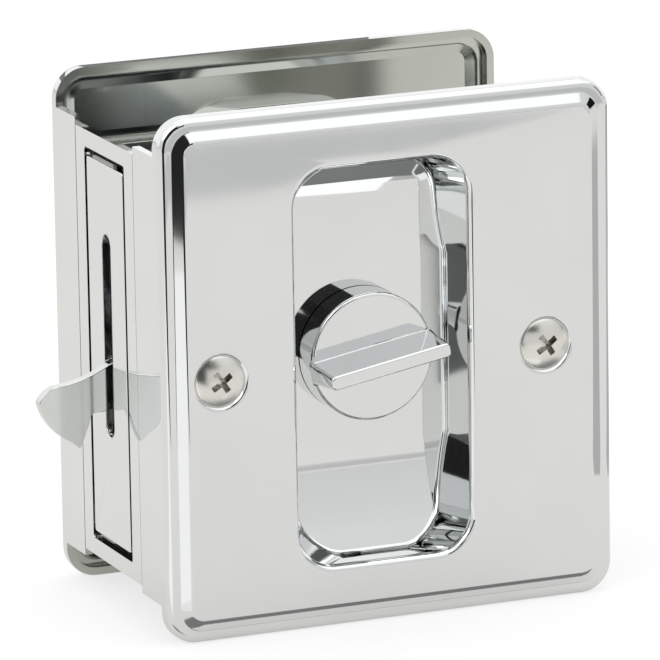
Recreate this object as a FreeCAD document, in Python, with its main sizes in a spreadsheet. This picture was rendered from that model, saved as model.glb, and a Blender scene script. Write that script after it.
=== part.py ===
import FreeCAD, Part
import math
import os
import re
import Sketcher

# Pocket door pull with a thumb turn and a hook bolt, in millimetres.
# X runs along the width of the plates and its low end is the door's edge. Y runs through the door,
# with the thumb turn on the low side. Z is up. The origin is on the turn's axis, mid door.

V = FreeCAD.Vector

# Driving dimensions: name, value, what it sizes.
SIZES = (
    ("door_thickness", 34.925, "gap between the two plates, for a 1-3/8 inch door"),
    ("plate_width", 63.5, "width of each face plate"),
    ("plate_height", 69.85, "height of each face plate"),
    ("plate_offset", 1.1, "plates' centre, sideways from the turn's axis"),
    ("plate_corner", 4.2, "corner radius of the plates"),
    ("plate_wall", 1.2, "thickness of the pressed plates"),
    ("rim_depth", 2.4, "depth of the plates' turned rim"),
    ("rim_round", 1.1, "rounding of the rim's outer edge"),
    ("rim_flat", 0.6, "flat border between the rounding and the step"),
    ("field_slope", 1.45, "width of the step up to the raised field"),
    ("field_rise", 0.8, "height of the raised field over the border"),
    ("field_corner", 3.2, "corner radius at the foot of the step"),
    ("field_round", 0.5, "rounding of the step's edges"),
    ("cup_width", 24.4, "finger cup, side to side"),
    ("cup_margin", 8.425, "plate above and below the finger cup"),
    ("cup_depth", 8.5, "finger cup, depth below the field"),
    ("cup_flat", 24.0, "length of the flat part of the cup's floor"),
    ("cup_end_depth", 4.5, "depth of the cup where the scooped floor meets its end"),
    ("cup_corner", 5.0, "corner radius of the cup, seen from the front"),
    ("cup_lip", 1.0, "rounding of the cup's lip"),
    ("cup_foot", 1.0, "rounding where the cup's walls meet its floor"),
    ("flange_margin", 5.025, "plate above and below its edge flange"),
    ("channel_margin", 1.0, "flange above and below the edge channel"),
    ("channel_border", 3.1125, "edge channel beside its window"),
    ("channel_wall", 1.2, "thickness of the edge channel"),
    ("seam_gap", 0.15, "gap between a flange and the channel"),
    ("tab_length", 14.0, "length of the channel's folded top and bottom tabs"),
    ("tab_width", 9.0, "width of the folded tabs"),
    ("window_width", 14.4, "opening for the edge pull, across the door"),
    ("window_margin", 2.3, "edge channel above and below its window"),
    ("pull_side_gap", 0.75, "gap beside the edge pull"),
    ("pull_end_gap", 1.1, "gap above and below the edge pull"),
    ("pull_wall", 1.2, "thickness of the edge pull"),
    ("pull_pin_depth", 3.5, "edge pull's pin, behind the edge face"),
    ("pull_pin_rise", 6.1, "edge pull's pin, above the window's foot"),
    ("pull_pin_radius", 1.25, "radius of the edge pull's pin"),
    ("pin_clearance", 0.05, "radial running clearance round pins and hubs"),
    ("ear_radius", 2.6, "radius of the ears round the edge pull's pin"),
    ("ear_wall", 1.2, "thickness of the ears and the lugs"),
    ("ear_gap", 0.2, "gap between an ear and its lug"),
    ("lug_inset", 0.4, "lug's inner face, outside the window's side"),
    ("slot_width", 3.2, "slot for the hook in the edge pull"),
    ("slot_height", 27.4, "slot for the hook, end to end"),
    ("slot_centre", 2.4, "slot's middle, above the turn's axis"),
    ("hook_wall", 1.5, "thickness of the hook and the drive sector"),
    ("hook_side", 0.65, "hook's mid plane, behind mid door"),
    ("hook_gap", 0.3, "gap between the hook and each case plate"),
    ("hook_reach", 9.9, "how far the hook stands out of the edge"),
    ("hook_nose_drop", 5.7, "hook's nose, below the turn's axis"),
    ("hook_nose_rise", 2.1, "top of the hook behind the nose, above the nose"),
    ("hook_barb_reach", 4.2, "hook's barb tip, out from the edge"),
    ("hook_barb_drop", 12.3, "hook's barb tip, below the turn's axis"),
    ("hook_barb_wall", 1.7, "hook's barb, across at its root"),
    ("hook_neck_top", 1.4, "top of the hook's neck at the edge, below the turn's axis"),
    ("hook_neck_foot", 7.5, "foot of the hook's neck at the edge, below the turn's axis"),
    ("hook_hub", 6.2, "radius of the hook round its pivot"),
    ("pivot_drop", 5.0, "hook's pivot, below the turn's axis"),
    ("pivot_radius", 2.0, "radius of the hook's pivot pin"),
    ("rivet_head", 3.1, "radius of the riveted heads"),
    ("rivet_height", 0.7, "height of the riveted heads"),
    ("gear_module", 1.0, "size of the sector teeth"),
    ("gear_teeth", 18.0, "teeth of each sector on a full circle"),
    ("gear_backlash", 0.22, "widening of each tooth space on the pitch circle"),
    ("gear_root", 1.3, "depth of a tooth space below the pitch circle, in modules"),
    ("case_wall", 1.2, "thickness of the case plates"),
    ("case_setback", 2.4, "case plates' front edge, behind the edge face"),
    ("case_step", 6.2, "case plates' edge behind the edge pull's pin"),
    ("spacer_radius", 2.5, "radius of the case spacers"),
    ("spacer_inset", 6.9, "upper and lower case spacers, in from the channel's ends"),
    ("spacer_side", 12.0, "upper and lower case spacers, towards the edge"),
    ("spacer_inner", 15.0, "inner case spacer, away from the edge"),
    ("rivet_tail", 1.5, "radius of the riveted tails of posts and spacers"),
    ("screw_spacing", 46.0, "distance between the two screws"),
    ("screw_head", 3.4, "radius of the screw's oval head"),
    ("screw_dome", 0.85, "height of the oval head over the field"),
    ("screw_shank", 1.75, "radius of the screw"),
    ("screw_length", 13.0, "length of the screw below its head"),
    ("screw_clearance", 0.1, "radial clearance of the screw in the plate"),
    ("screw_cross", 4.0, "width of the cross recess"),
    ("screw_cross_wall", 0.85, "width of the recess's arms"),
    ("screw_cross_depth", 1.7, "depth of the recess"),
    ("screw_turn_angle", 35.0, "how far the recess is turned"),
    ("dimple_radius", 4.6, "radius of the pressed dimple round the screw"),
    ("dimple_depth", 0.3, "depth of the dimple"),
    ("boss_radius", 4.6, "radius of the thick seat behind each screw"),
    ("boss_depth", 1.3, "how far the seat stands behind the plate"),
    ("post_radius", 3.6, "radius of the posts"),
    ("post_neck", 2.9, "radius of the rear posts' necks, welded to the plate"),
    ("post_neck_length", 1.4, "length of the necks"),
    ("turn_radius", 8.6, "radius of the thumb turn's disc"),
    ("turn_height", 4.3, "height of the disc over the cup's floor"),
    ("turn_edge", 0.5, "rounding of the disc's edge"),
    ("turn_lift", 0.2, "gap between a turn and the cup's floor"),
    ("bar_length", 17.6, "length of the thumb bar"),
    ("bar_height", 6.5, "height of the thumb bar over the disc"),
    ("bar_foot", 3.0, "thickness of the thumb bar at the disc"),
    ("bar_tip", 1.9, "thickness of the thumb bar at its tip"),
    ("bar_round", 0.3, "rounding of the thumb bar's edges"),
    ("hub_radius", 4.4, "radius of the turns' hubs in the cups"),
    ("hub_length", 3.6, "length of the hubs below the cup's floor"),
    ("hub_clearance", 0.08, "radial clearance of the hubs in the cups"),
    ("rest_angle", 10.0, "angle of the thumb bar when locked"),
    ("coin_radius", 6.4, "radius of the emergency turn"),
    ("coin_height", 2.6, "height of the emergency turn over the cup's floor"),
    ("coin_slot_width", 1.8, "width of the coin slot"),
    ("coin_slot_depth", 1.4, "depth of the coin slot"),
    ("clip_radius", 6.2, "outer radius of the retaining clips"),
    ("clip_wall", 0.6, "thickness of the retaining clips"),
    ("groove_depth", 0.8, "depth of the clip's groove in the hub"),
    ("washer_radius", 6.6, "outer radius of the spring washers"),
    ("washer_wall", 0.3, "thickness of the spring washers"),
    ("washer_rise", 0.5, "dish of the spring washers"),
    ("spindle_width", 5.0, "width of the flat spindle"),
    ("spindle_wall", 2.2, "thickness of the flat spindle"),
    ("spindle_clearance", 0.06, "clearance of the spindle in its hubs"),
    ("spindle_entry", 2.6, "how far the spindle reaches into each turn"),
    ("sector_hub", 4.6, "radius of the drive sector's hub in the case"),
    ("spring_wire", 0.6, "wire of the edge pull's spring"),
    ("spring_radius", 1.9, "mean radius of the spring's coil"),
    ("spring_gap", 0.12, "gap at each end of the spring's coil"),
)

# Sizes that follow from the driving ones.
DERIVED = (
    ("cup_height", "plate_height - 2 * cup_margin", "finger cup, end to end"),
    ("flange_height", "plate_height - 2 * flange_margin", "height of the edge flanges"),
    ("channel_height", "flange_height - 2 * channel_margin", "height of the edge channel"),
    ("window_height", "channel_height - 2 * window_margin", "opening for the edge pull, up and down"),
    ("channel_half", "window_width / 2 + channel_border", "half the width of the edge channel"),
    ("flange_reach", "door_thickness / 2 - channel_half - seam_gap", "reach of the plates' edge flanges"),
    ("pull_pin_drop", "window_height / 2 - pull_pin_rise", "edge pull's pin, below the turn's axis"),
    ("spacer_rise", "channel_height / 2 - spacer_inset", "case spacers, from the turn's axis"),
)

doc = FreeCAD.newDocument("pocket_door_pull")
sheet = doc.addObject("Spreadsheet::Sheet", "sizes")
for row, (alias, number, note) in enumerate(SIZES + DERIVED, start=1):
    sheet.set(f"A{row}", alias)
    sheet.set(f"B{row}", f"={number}" if isinstance(number, str) else str(number))
    sheet.set(f"C{row}", note)
    sheet.setAlias(f"B{row}", alias)
doc.recompute()
ALIASES = {entry[0] for entry in SIZES + DERIVED}

# Places that several pieces share, as texts over the sheet's names.
EDGE = "(plate_offset - plate_width / 2)"
FACE = "(door_thickness / 2 + rim_depth + field_rise)"
FLOOR = f"({FACE} - cup_depth)"
FLOOR_BACK = f"({FLOOR} - plate_wall)"
SCOOP_RUN = "((cup_height - cup_flat) / 2)"
SCOOP_DROP = "(cup_depth - cup_end_depth)"
SCOOP_RADIUS = f"(({SCOOP_RUN} ^ 2 + {SCOOP_DROP} ^ 2) / (2 * {SCOOP_DROP}))"
CASE_NEAR = "(hook_side - hook_wall / 2 - hook_gap)"
CASE_FAR = "(hook_side + hook_wall / 2 + hook_gap)"
CASE_FRONT = f"({CASE_NEAR} - case_wall)"
CASE_REAR = f"({CASE_FAR} + case_wall)"
PITCH = "(gear_module * gear_teeth / 2)"
PIVOT_X = f"(-sqrt(4 * {PITCH} ^ 2 - pivot_drop ^ 2))"
PIVOT_Z = "(-pivot_drop)"
PIN_X = f"({EDGE} + pull_pin_depth)"
PIN_Z = "(-pull_pin_drop)"
SEAT = "(door_thickness / 2 + rim_depth + field_rise - plate_wall - boss_depth)"
CASE_TOP = "(channel_height / 2 - channel_wall)"


def bound(text):
    """Return an expression text whose size names point at the sheet."""
    return re.sub(r"[a-z_]{3,}", lambda word: f"sizes.{word.group()}" if word.group() in ALIASES
                  else word.group(), str(text))


def value(text):
    """Return the number that an expression text gives."""
    result = sheet.evalExpression(bound(text))
    return float(getattr(result, "Value", result))


def bind(thing, prop, text):
    """Bind one property of an object to an expression over the sheet."""
    thing.setExpression(prop, bound(text))


def new_body(label):
    """Add an empty body with the node's name."""
    body = doc.addObject("PartDesign::Body", label)
    body.Label = label
    return body


def new_sketch(body, plane, away="0", across="0", up="0"):
    """Add a sketch on one of the body's own origin planes, moved along and within it."""
    sketch = body.newObject("Sketcher::SketchObject", f"{body.Label}_sketch")
    support = [item for item in body.Origin.OriginFeatures if item.Role == f"{plane}_Plane"]
    sketch.AttachmentSupport = [(support[0], "")]
    sketch.MapMode = "FlatFace"
    bind(sketch, "AttachmentOffset.Base.x", across)
    bind(sketch, "AttachmentOffset.Base.y", up)
    bind(sketch, "AttachmentOffset.Base.z", away)
    return sketch


def fix(sketch, kind, name, text, *place):
    """Add one named dimension to a sketch and bind it."""
    index = sketch.addConstraint(Sketcher.Constraint(kind, *place, value(text)))
    sketch.renameConstraint(index, name)
    bind(sketch, f"Constraints.{name}", text)


def outline(sketch, corners):
    """Draw a closed outline. A corner is (x, y) before a line, or (x, y, radius, side) before an arc.

    The side is 1 for an arc that bulges to the left of the way along the outline, -1 for the right.
    """
    first = sketch.GeometryCount
    count = len(corners)
    points = [V(value(corner[0]), value(corner[1]), 0) for corner in corners]
    ends = []
    for index, corner in enumerate(corners):
        start = points[index]
        stop = points[(index + 1) % count]
        if len(corner) == 2:
            sketch.addGeometry(Part.LineSegment(start, stop), False)
            ends.append((1, 2))
            continue
        side = corner[3]
        chord = stop - start
        radius = value(corner[2])
        rise = radius - math.sqrt(max(radius ** 2 - (chord.Length / 2) ** 2, 0.0))
        middle = (start + stop) / 2 + V(-chord.y, chord.x, 0).normalize() * rise * side
        arc = Part.Arc(stop, middle, start) if side > 0 else Part.Arc(start, middle, stop)
        sketch.addGeometry(arc, False)
        ends.append((2, 1) if side > 0 else (1, 2))
    for index, corner in enumerate(corners):
        after = (index + 1) % count
        here = first + index
        join = Sketcher.Constraint("Coincident", here, ends[index][1], first + after, ends[after][0])
        sketch.addConstraint(join)
        fix(sketch, "DistanceX", f"x{here}", corner[0], here, ends[index][0])
        fix(sketch, "DistanceY", f"y{here}", corner[1], here, ends[index][0])
        if len(corner) == 4:
            fix(sketch, "Radius", f"r{here}", corner[2], here)


def circle(sketch, across, up, radius):
    """Draw one bound circle."""
    here = sketch.GeometryCount
    centre = V(value(across), value(up), 0)
    sketch.addGeometry(Part.Circle(centre, V(0, 0, 1), value(radius)), False)
    fix(sketch, "DistanceX", f"x{here}", across, here, 3)
    fix(sketch, "DistanceY", f"y{here}", up, here, 3)
    fix(sketch, "Radius", f"r{here}", radius, here)


def rectangle(sketch, left, right, low, high):
    """Draw a bound rectangle."""
    outline(sketch, [(left, low), (right, low), (right, high), (left, high)])


def rounded_rectangle(sketch, left, right, low, high, radius):
    """Draw a bound rectangle with rounded corners."""
    outline(sketch, [
        (f"{left} + {radius}", low), (f"{right} - {radius}", low, radius, -1),
        (right, f"{low} + {radius}"), (right, f"{high} - {radius}", radius, -1),
        (f"{right} - {radius}", high), (f"{left} + {radius}", high, radius, -1),
        (left, f"{high} - {radius}"), (left, f"{low} + {radius}", radius, -1),
    ])


def extrude(body, sketch, length, reverse=False, both=False, cut=False):
    """Pad or pocket a sketch by a bound length."""
    kind = "Pocket" if cut else "Pad"
    feature = body.newObject(f"PartDesign::{kind}", f"{body.Label}_{kind.lower()}")
    feature.Profile = sketch
    bind(feature, "Length", length)
    feature.Reversed = reverse
    feature.Midplane = both
    doc.recompute()
    return feature


def revolve(body, sketch):
    """Turn a sketch on the XY plane about its own vertical axis, which is Y in space."""
    feature = body.newObject("PartDesign::Revolution", f"{body.Label}_revolution")
    feature.Profile = sketch
    feature.ReferenceAxis = (sketch, ["V_Axis"])
    feature.Angle = 360.0
    doc.recompute()
    return feature


def loft(body, lower, upper):
    """Join two sketches of one body with straight walls."""
    feature = body.newObject("PartDesign::AdditiveLoft", f"{body.Label}_loft")
    feature.Profile = lower
    feature.Sections = [upper]
    feature.Ruled = True
    doc.recompute()
    return feature


def round_edges(body, choose, radius):
    """Round those edges of a body's last feature that the choice takes."""
    base = body.Tip
    names = [f"Edge{number}" for number, edge in enumerate(base.Shape.Edges, start=1) if choose(edge)]
    feature = body.newObject("PartDesign::Fillet", f"{body.Label}_fillet")
    feature.Base = (base, names)
    bind(feature, "Radius", radius)
    doc.recompute()
    return feature


def place(thing, across="0", along="0", up="0"):
    """Bind an object's place in the part's frame."""
    bind(thing, "Placement.Base.x", across)
    bind(thing, "Placement.Base.y", along)
    bind(thing, "Placement.Base.z", up)


def rod(label, radius, length, across, along, up):
    """Add a cylinder that starts at a place and runs in +Y."""
    cylinder = doc.addObject("Part::Cylinder", label)
    bind(cylinder, "Radius", radius)
    bind(cylinder, "Height", length)
    cylinder.Placement = FreeCAD.Placement(V(0, 0, 0), FreeCAD.Rotation(V(1, 0, 0), -90))
    place(cylinder, across, along, up)
    return cylinder


def joined(label, pieces):
    """Fuse solids into one."""
    fusion = doc.addObject("Part::MultiFuse", label)
    fusion.Shapes = pieces
    fusion.Refine = True
    doc.recompute()
    return fusion


def without(label, base, tool):
    """Cut one solid from another."""
    cut = doc.addObject("Part::Cut", label)
    cut.Base = base
    cut.Tool = tool
    cut.Refine = True
    doc.recompute()
    return cut


def on_plane(edge, axis, number):
    """Say whether an edge lies in the plane where one coordinate has this number."""
    near = 1e-4
    box = edge.BoundBox
    low = (box.XMin, box.YMin, box.ZMin)[axis]
    high = (box.XMax, box.YMax, box.ZMax)[axis]
    return abs(low - number) < near and abs(high - number) < near


# Face plates. A plate's side is -1 in front, with the thumb turn, and 1 at the back.
# Depths are distances from mid door, so both plates read the same texts.


def plate_sketch(body, side, depth, inset, corner):
    """Draw the plates' outline, drawn in by an inset, at a depth from mid door."""
    sketch = new_sketch(body, "XZ", f"{-side} * {depth}")
    rounded_rectangle(sketch,
                      f"{EDGE} + {inset}", f"{EDGE} + plate_width - ({inset})",
                      f"-(plate_height / 2) + {inset}", f"plate_height / 2 - ({inset})", corner)
    return sketch


def plate_pan(label, side):
    """Build the plate's pan: turned rim, raised field, hollow back and edge flange."""
    body = new_body(label)
    back = side > 0
    door = "door_thickness / 2"
    rim = f"({door} + rim_depth)"
    foot = "(rim_round + rim_flat)"
    top = "(rim_round + rim_flat + field_slope)"
    extrude(body, plate_sketch(body, side, door, "0", "plate_corner"), "rim_depth", reverse=back)
    round_edges(body, lambda edge: on_plane(edge, 1, side * value(rim)), "rim_round")
    loft(body,
         plate_sketch(body, side, rim, foot, "field_corner"),
         plate_sketch(body, side, FACE, top, "(field_corner - field_slope / 2)"))
    round_edges(body, lambda edge: on_plane(edge, 1, side * value(FACE)), "field_round")
    extrude(body, plate_sketch(body, side, door, "plate_wall", "(plate_corner - plate_wall)"),
            "rim_depth - plate_wall", reverse=not back, cut=True)
    extrude(body, plate_sketch(body, side, door, f"({top} + plate_wall / 2)", "(field_corner / 2)"),
            "rim_depth + field_rise - plate_wall", reverse=not back, cut=True)
    flange = new_sketch(body, "XZ", f"{-side} * {door}")
    rectangle(flange, EDGE, f"{EDGE} + plate_wall", "-(flange_height / 2)", "flange_height / 2")
    extrude(body, flange, "flange_reach", reverse=not back)
    return body


def cup_solid(label, side, start, grow):
    """Build the scooped block of the cup's inside, or of its outside when grown by the wall."""
    body = new_body(label)
    plan = new_sketch(body, "XZ", f"{-side} * {start}")
    rounded_rectangle(plan,
                      f"-(cup_width / 2) - {grow}", f"cup_width / 2 + {grow}",
                      f"-(cup_height / 2) - {grow}", f"cup_height / 2 + {grow}",
                      f"(cup_corner + {grow})")
    extrude(body, plan, f"{start} - {FLOOR} + {grow}", reverse=side < 0)
    floor = f"{side} * ({FLOOR} - {grow})"
    beyond = f"{side} * ({FLOOR} - {grow} - cup_depth)"
    end = (f"{side} * ({FLOOR} + {SCOOP_RADIUS}"
           f" - sqrt(({SCOOP_RADIUS} + {grow}) ^ 2 - ({SCOOP_RUN} + {grow}) ^ 2))")
    for way in (1, -1):
        trim = new_sketch(body, "YZ")
        outline(trim, [
            (floor, f"{way} * cup_flat / 2", f"({SCOOP_RADIUS} + {grow})", side * way),
            (end, f"{way} * (cup_height / 2 + {grow})"),
            (end, f"{way} * (cup_height / 2 + {grow} + plate_wall)"),
            (beyond, f"{way} * (cup_height / 2 + {grow} + plate_wall)"),
            (beyond, f"{way} * cup_flat / 2"),
        ])
        extrude(body, trim, f"2 * (cup_width + {grow})", both=True, cut=True)
    return body


def cup_foot_edge(edge, side, start, grow):
    """Say whether an edge is where the cup's walls meet its floor."""
    near = 1e-3
    box = edge.BoundBox
    mouth = side * start
    touches_mouth = abs(box.YMin - mouth) < near or abs(box.YMax - mouth) < near
    seam = value("cup_flat / 2")
    is_seam = box.ZLength < near and abs(abs(box.ZMin) - seam) < near
    return not touches_mouth and not is_seam


def screw_seat_tool(label, way):
    """Build what the screw's hole, its countersink and its dimple take out of the front plate."""
    body = new_body(label)
    sketch = new_sketch(body, "XY")
    head = "(screw_head + screw_clearance)"
    shank = "(screw_shank + screw_clearance)"
    outline(sketch, [
        ("0", "-1"), ("dimple_radius", "-1"), ("dimple_radius", "0"), (head, "dimple_depth"),
        (shank, f"dimple_depth + {head} - {shank}"), (shank, "screw_length"), ("0", "screw_length"),
    ])
    revolve(body, sketch)
    place(body, f"{way} * screw_spacing / 2", f"-{FACE}")
    return body


def face_plate(label, side):
    """Build one face plate with its cup and the hole for its turn."""
    front = side < 0
    pan = plate_pan(f"{label}_pan", side)
    bulge_start = f"({FACE} - plate_wall / 2)"
    bulge = cup_solid(f"{label}_bulge", side, bulge_start, "plate_wall")
    mouth_start = f"({FACE} + plate_wall)"
    recess = cup_solid(f"{label}_recess", side, mouth_start, "0")
    bulge_mouth = value(bulge_start)
    round_edges(bulge, lambda edge: cup_foot_edge(edge, side, bulge_mouth, 0), "cup_foot + plate_wall")
    recess_mouth = value(mouth_start)
    round_edges(recess, lambda edge: cup_foot_edge(edge, side, recess_mouth, 0), "cup_foot")
    solids = [pan, bulge]
    tools = [recess]
    hole_length = "(2 * plate_wall + cup_foot)"
    middle = f"({side} * ({FLOOR} - plate_wall / 2) - {hole_length} / 2)"
    tools.append(rod(f"{label}_hub_hole", "hub_radius + hub_clearance", hole_length, "0", middle, "0"))
    if front:
        for way, name in ((-1, "left"), (1, "right")):
            across = f"{way} * screw_spacing / 2"
            depth = "boss_depth + plate_wall / 2"
            solids.append(rod(f"{label}_boss_{name}", "boss_radius", depth, across,
                              f"-{SEAT} - ({depth})", "0"))
            tools.append(screw_seat_tool(f"{label}_seat_{name}", way))
    blank = joined(f"{label}_blank", solids)
    cut = without(f"{label}_cut", blank, joined(f"{label}_tools", tools))
    plate = doc.addObject("Part::Fillet", label)
    plate.Base = cut
    face = side * value(FACE)
    reach = value("cup_width / 2") + value("cup_lip")
    chosen = [number for number, edge in enumerate(cut.Shape.Edges, start=1)
              if on_plane(edge, 1, face) and abs(edge.BoundBox.XMin) < reach
              and abs(edge.BoundBox.XMax) < reach]
    lip = value("cup_lip")
    plate.Edges = [(number, lip, lip) for number in chosen]
    doc.recompute()
    plate.Label = label
    return plate


# Edge channel and the edge pull.


def ear_outline(sketch, face, wall):
    """Draw an ear that reaches from the edge face's sheet to round the pull's pin."""
    inner = f"({EDGE} + {face} + {wall} / 2)"
    outline(sketch, [
        (inner, f"{PIN_Z} - ear_radius"), (PIN_X, f"{PIN_Z} - ear_radius", "ear_radius", -1),
        (f"{PIN_X} + ear_radius", PIN_Z, "ear_radius", -1), (PIN_X, f"{PIN_Z} + ear_radius"),
        (inner, f"{PIN_Z} + ear_radius"),
    ])


def ears(body, inner, wall, hole):
    """Fold two ears back from a sheet on the door's edge and bore them for the pin."""
    for side in (-1, 1):
        near = inner if side > 0 else f"({inner} + ear_wall)"
        sketch = new_sketch(body, "XZ", f"{-side} * {near}")
        ear_outline(sketch, "0", wall)
        extrude(body, sketch, "ear_wall", reverse=True)
    bore = new_sketch(body, "XZ")
    circle(bore, PIN_X, PIN_Z, hole)
    extrude(body, bore, "2 * door_thickness", both=True, cut=True)


def edge_channel():
    """Build the sheet on the door's edge, with its window, folded tabs and lugs for the pin."""
    body = new_body("edge_channel")
    sheet_outline = new_sketch(body, "YZ", EDGE)
    rectangle(sheet_outline, "-channel_half", "channel_half", "-(channel_height / 2)", "channel_height / 2")
    extrude(body, sheet_outline, "channel_wall")
    window = new_sketch(body, "YZ", EDGE)
    rounded_rectangle(window, "-(window_width / 2)", "window_width / 2",
                      "-(window_height / 2)", "window_height / 2", "(channel_wall / 3)")
    extrude(body, window, "channel_wall", reverse=True, cut=True)
    for way in (-1, 1):
        tab = new_sketch(body, "XZ", "tab_width / 2 - hook_side")
        low = "channel_height / 2 - channel_wall" if way > 0 else "-(channel_height / 2)"
        rectangle(tab, EDGE, f"{EDGE} + tab_length", low, f"{low} + channel_wall")
        extrude(body, tab, "tab_width", reverse=True)
    ears(body, "(window_width / 2 + lug_inset)", "channel_wall", "pull_pin_radius")
    return body


def edge_pull():
    """Build the swinging pull: a slotted plate with two ears on the pin."""
    body = new_body("edge_pull")
    half = "(window_width / 2 - pull_side_gap)"
    tall = "(window_height / 2 - pull_end_gap)"
    face = new_sketch(body, "YZ", EDGE)
    rounded_rectangle(face, f"-{half}", half, f"-{tall}", tall, "(pull_wall / 3)")
    extrude(body, face, "pull_wall")
    slot = new_sketch(body, "YZ", EDGE)
    wide = "slot_width / 2"
    low = f"slot_centre - slot_height / 2 + {wide}"
    high = f"slot_centre + slot_height / 2 - {wide}"
    outline(slot, [
        (f"-({wide})", low, wide, -1), ("0", f"{low} - {wide}", wide, -1), (wide, low),
        (wide, high, wide, -1), ("0", f"{high} + {wide}", wide, -1), (f"-({wide})", high),
    ])
    extrude(body, slot, "pull_wall", reverse=True, cut=True)
    ears(body, f"({half} - ear_wall)", "pull_wall", "pull_pin_radius + pin_clearance")
    return body


def edge_pull_pin():
    """Build the pin that the edge pull swings on, pressed into the lugs."""
    half = "(window_width / 2 + lug_inset + ear_wall)"
    return rod("edge_pull_pin", "pull_pin_radius - 0.01", f"2 * {half}", PIN_X, f"-{half}", PIN_Z)


def edge_pull_spring():
    """Wind the torsion spring on the pin, with one leg on the pull and one on the case."""
    wire = value("spring_wire")
    radius = value("spring_radius")
    ear = value("-(window_width / 2 - pull_side_gap - ear_wall)")
    start = ear + value("spring_gap + spring_wire / 2")
    pitch = wire * 1.06
    room = value(f"{CASE_FRONT} - spring_gap - spring_wire / 2") - start
    turns = math.floor(room / pitch - 0.25) + 0.25
    side = V(0, 0, -1)
    centre = V(value(PIN_X), start, value(PIN_Z))
    steps = 16
    points = []
    for step in range(round(turns * steps) + 1):
        angle = 2 * math.pi * step / steps
        points.append(centre + V(-radius * math.cos(angle), pitch * step / steps, radius * math.sin(angle)))
    foot = points[0] + side * value("ear_radius")
    head = points[-1] + V(2 * value("ear_radius"), 0, 0)
    coil = Part.BSplineCurve()
    coil.interpolate(points)
    path = Part.Wire([Part.makeLine(foot, points[0]), coil.toShape(), Part.makeLine(points[-1], head)])
    ring = Part.Wire(Part.makeCircle(wire / 2, foot, side * -1))
    shell = path.makePipeShell([ring], True, True)
    spring = doc.addObject("Part::Feature", "edge_pull_spring")
    spring.Shape = shell
    spring.Placement = FreeCAD.Placement()
    return spring


# Case: two plates at mid door that carry the hook and the drive, with their spacers and posts.


def case_plate(label, near):
    """Build one case plate, bored for the pivot, the drive's hub, the spacers and the posts."""
    body = new_body(label)
    plate = new_sketch(body, "XZ", f"-{near}")
    front = f"{EDGE} + case_setback"
    step = f"{EDGE} + case_step"
    end = "(screw_spacing / 2)"
    nose = "(post_radius + case_wall)"
    waist = "(spacer_side - spacer_radius)"
    outline(plate, [
        (step, f"-{CASE_TOP}"), (f"-{waist}", f"-{CASE_TOP}"),
        (end, f"-{nose}", nose, -1), (f"{end} + {nose}", "0", nose, -1), (end, nose),
        (f"-{waist}", CASE_TOP), (front, CASE_TOP),
        (front, f"{PIN_Z} + 2 * ear_radius"), (step, f"{PIN_Z} + 2 * ear_radius"),
    ])
    extrude(body, plate, "case_wall", reverse=True)
    holes = new_sketch(body, "XZ", f"-{near}")
    circle(holes, PIVOT_X, PIVOT_Z, "pivot_radius + pin_clearance")
    circle(holes, "0", "0", "sector_hub + pin_clearance")
    tail = "rivet_tail + pin_clearance"
    circle(holes, "-spacer_side", "spacer_rise", tail)
    circle(holes, "-spacer_side", "-spacer_rise", tail)
    circle(holes, "spacer_inner", "0", tail)
    circle(holes, "screw_spacing / 2", "0", tail)
    circle(holes, "-(screw_spacing / 2)", "0", tail)
    extrude(body, holes, "case_wall", cut=True)
    return body


def case_spacer(label, across, up):
    """Build a spacer with a riveted tail at each end."""
    body = new_body(label)
    sketch = new_sketch(body, "XY")
    out = f"({CASE_FAR} - hook_side)"
    tail_end = f"({out} + case_wall)"
    outline(sketch, [
        ("0", f"-{tail_end}"), ("rivet_tail", f"-{tail_end}"), ("rivet_tail", f"-{out}"),
        ("spacer_radius", f"-{out}"), ("spacer_radius", out), ("rivet_tail", out),
        ("rivet_tail", tail_end), ("0", tail_end),
    ])
    revolve(body, sketch)
    place(body, across, "hook_side", up)
    return body


def standoff(label, way):
    """Build a threaded post between the front plate and the case, with a tail in the case."""
    body = new_body(label)
    sketch = new_sketch(body, "XY")
    bore_end = f"-{SEAT} + screw_length"
    outline(sketch, [
        ("screw_shank + pin_clearance", f"-{SEAT}"), ("post_radius", f"-{SEAT}"),
        ("post_radius", CASE_FRONT), ("rivet_tail", CASE_FRONT), ("rivet_tail", CASE_NEAR),
        ("0", CASE_NEAR), ("0", bore_end), ("screw_shank + pin_clearance", bore_end),
    ])
    revolve(body, sketch)
    place(body, f"{way} * screw_spacing / 2")
    return body


def rear_post(label, way):
    """Build a post between the back plate and the case, with a tail in the case."""
    body = new_body(label)
    sketch = new_sketch(body, "XY")
    seat = f"({FACE} - plate_wall)"
    outline(sketch, [
        ("0", CASE_FAR), ("rivet_tail", CASE_FAR), ("rivet_tail", CASE_REAR),
        ("post_radius", CASE_REAR), ("post_radius", f"{seat} - post_neck_length"),
        ("post_neck", f"{seat} - post_neck_length"), ("post_neck", seat), ("0", seat),
    ])
    revolve(body, sketch)
    place(body, f"{way} * screw_spacing / 2")
    return body


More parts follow.
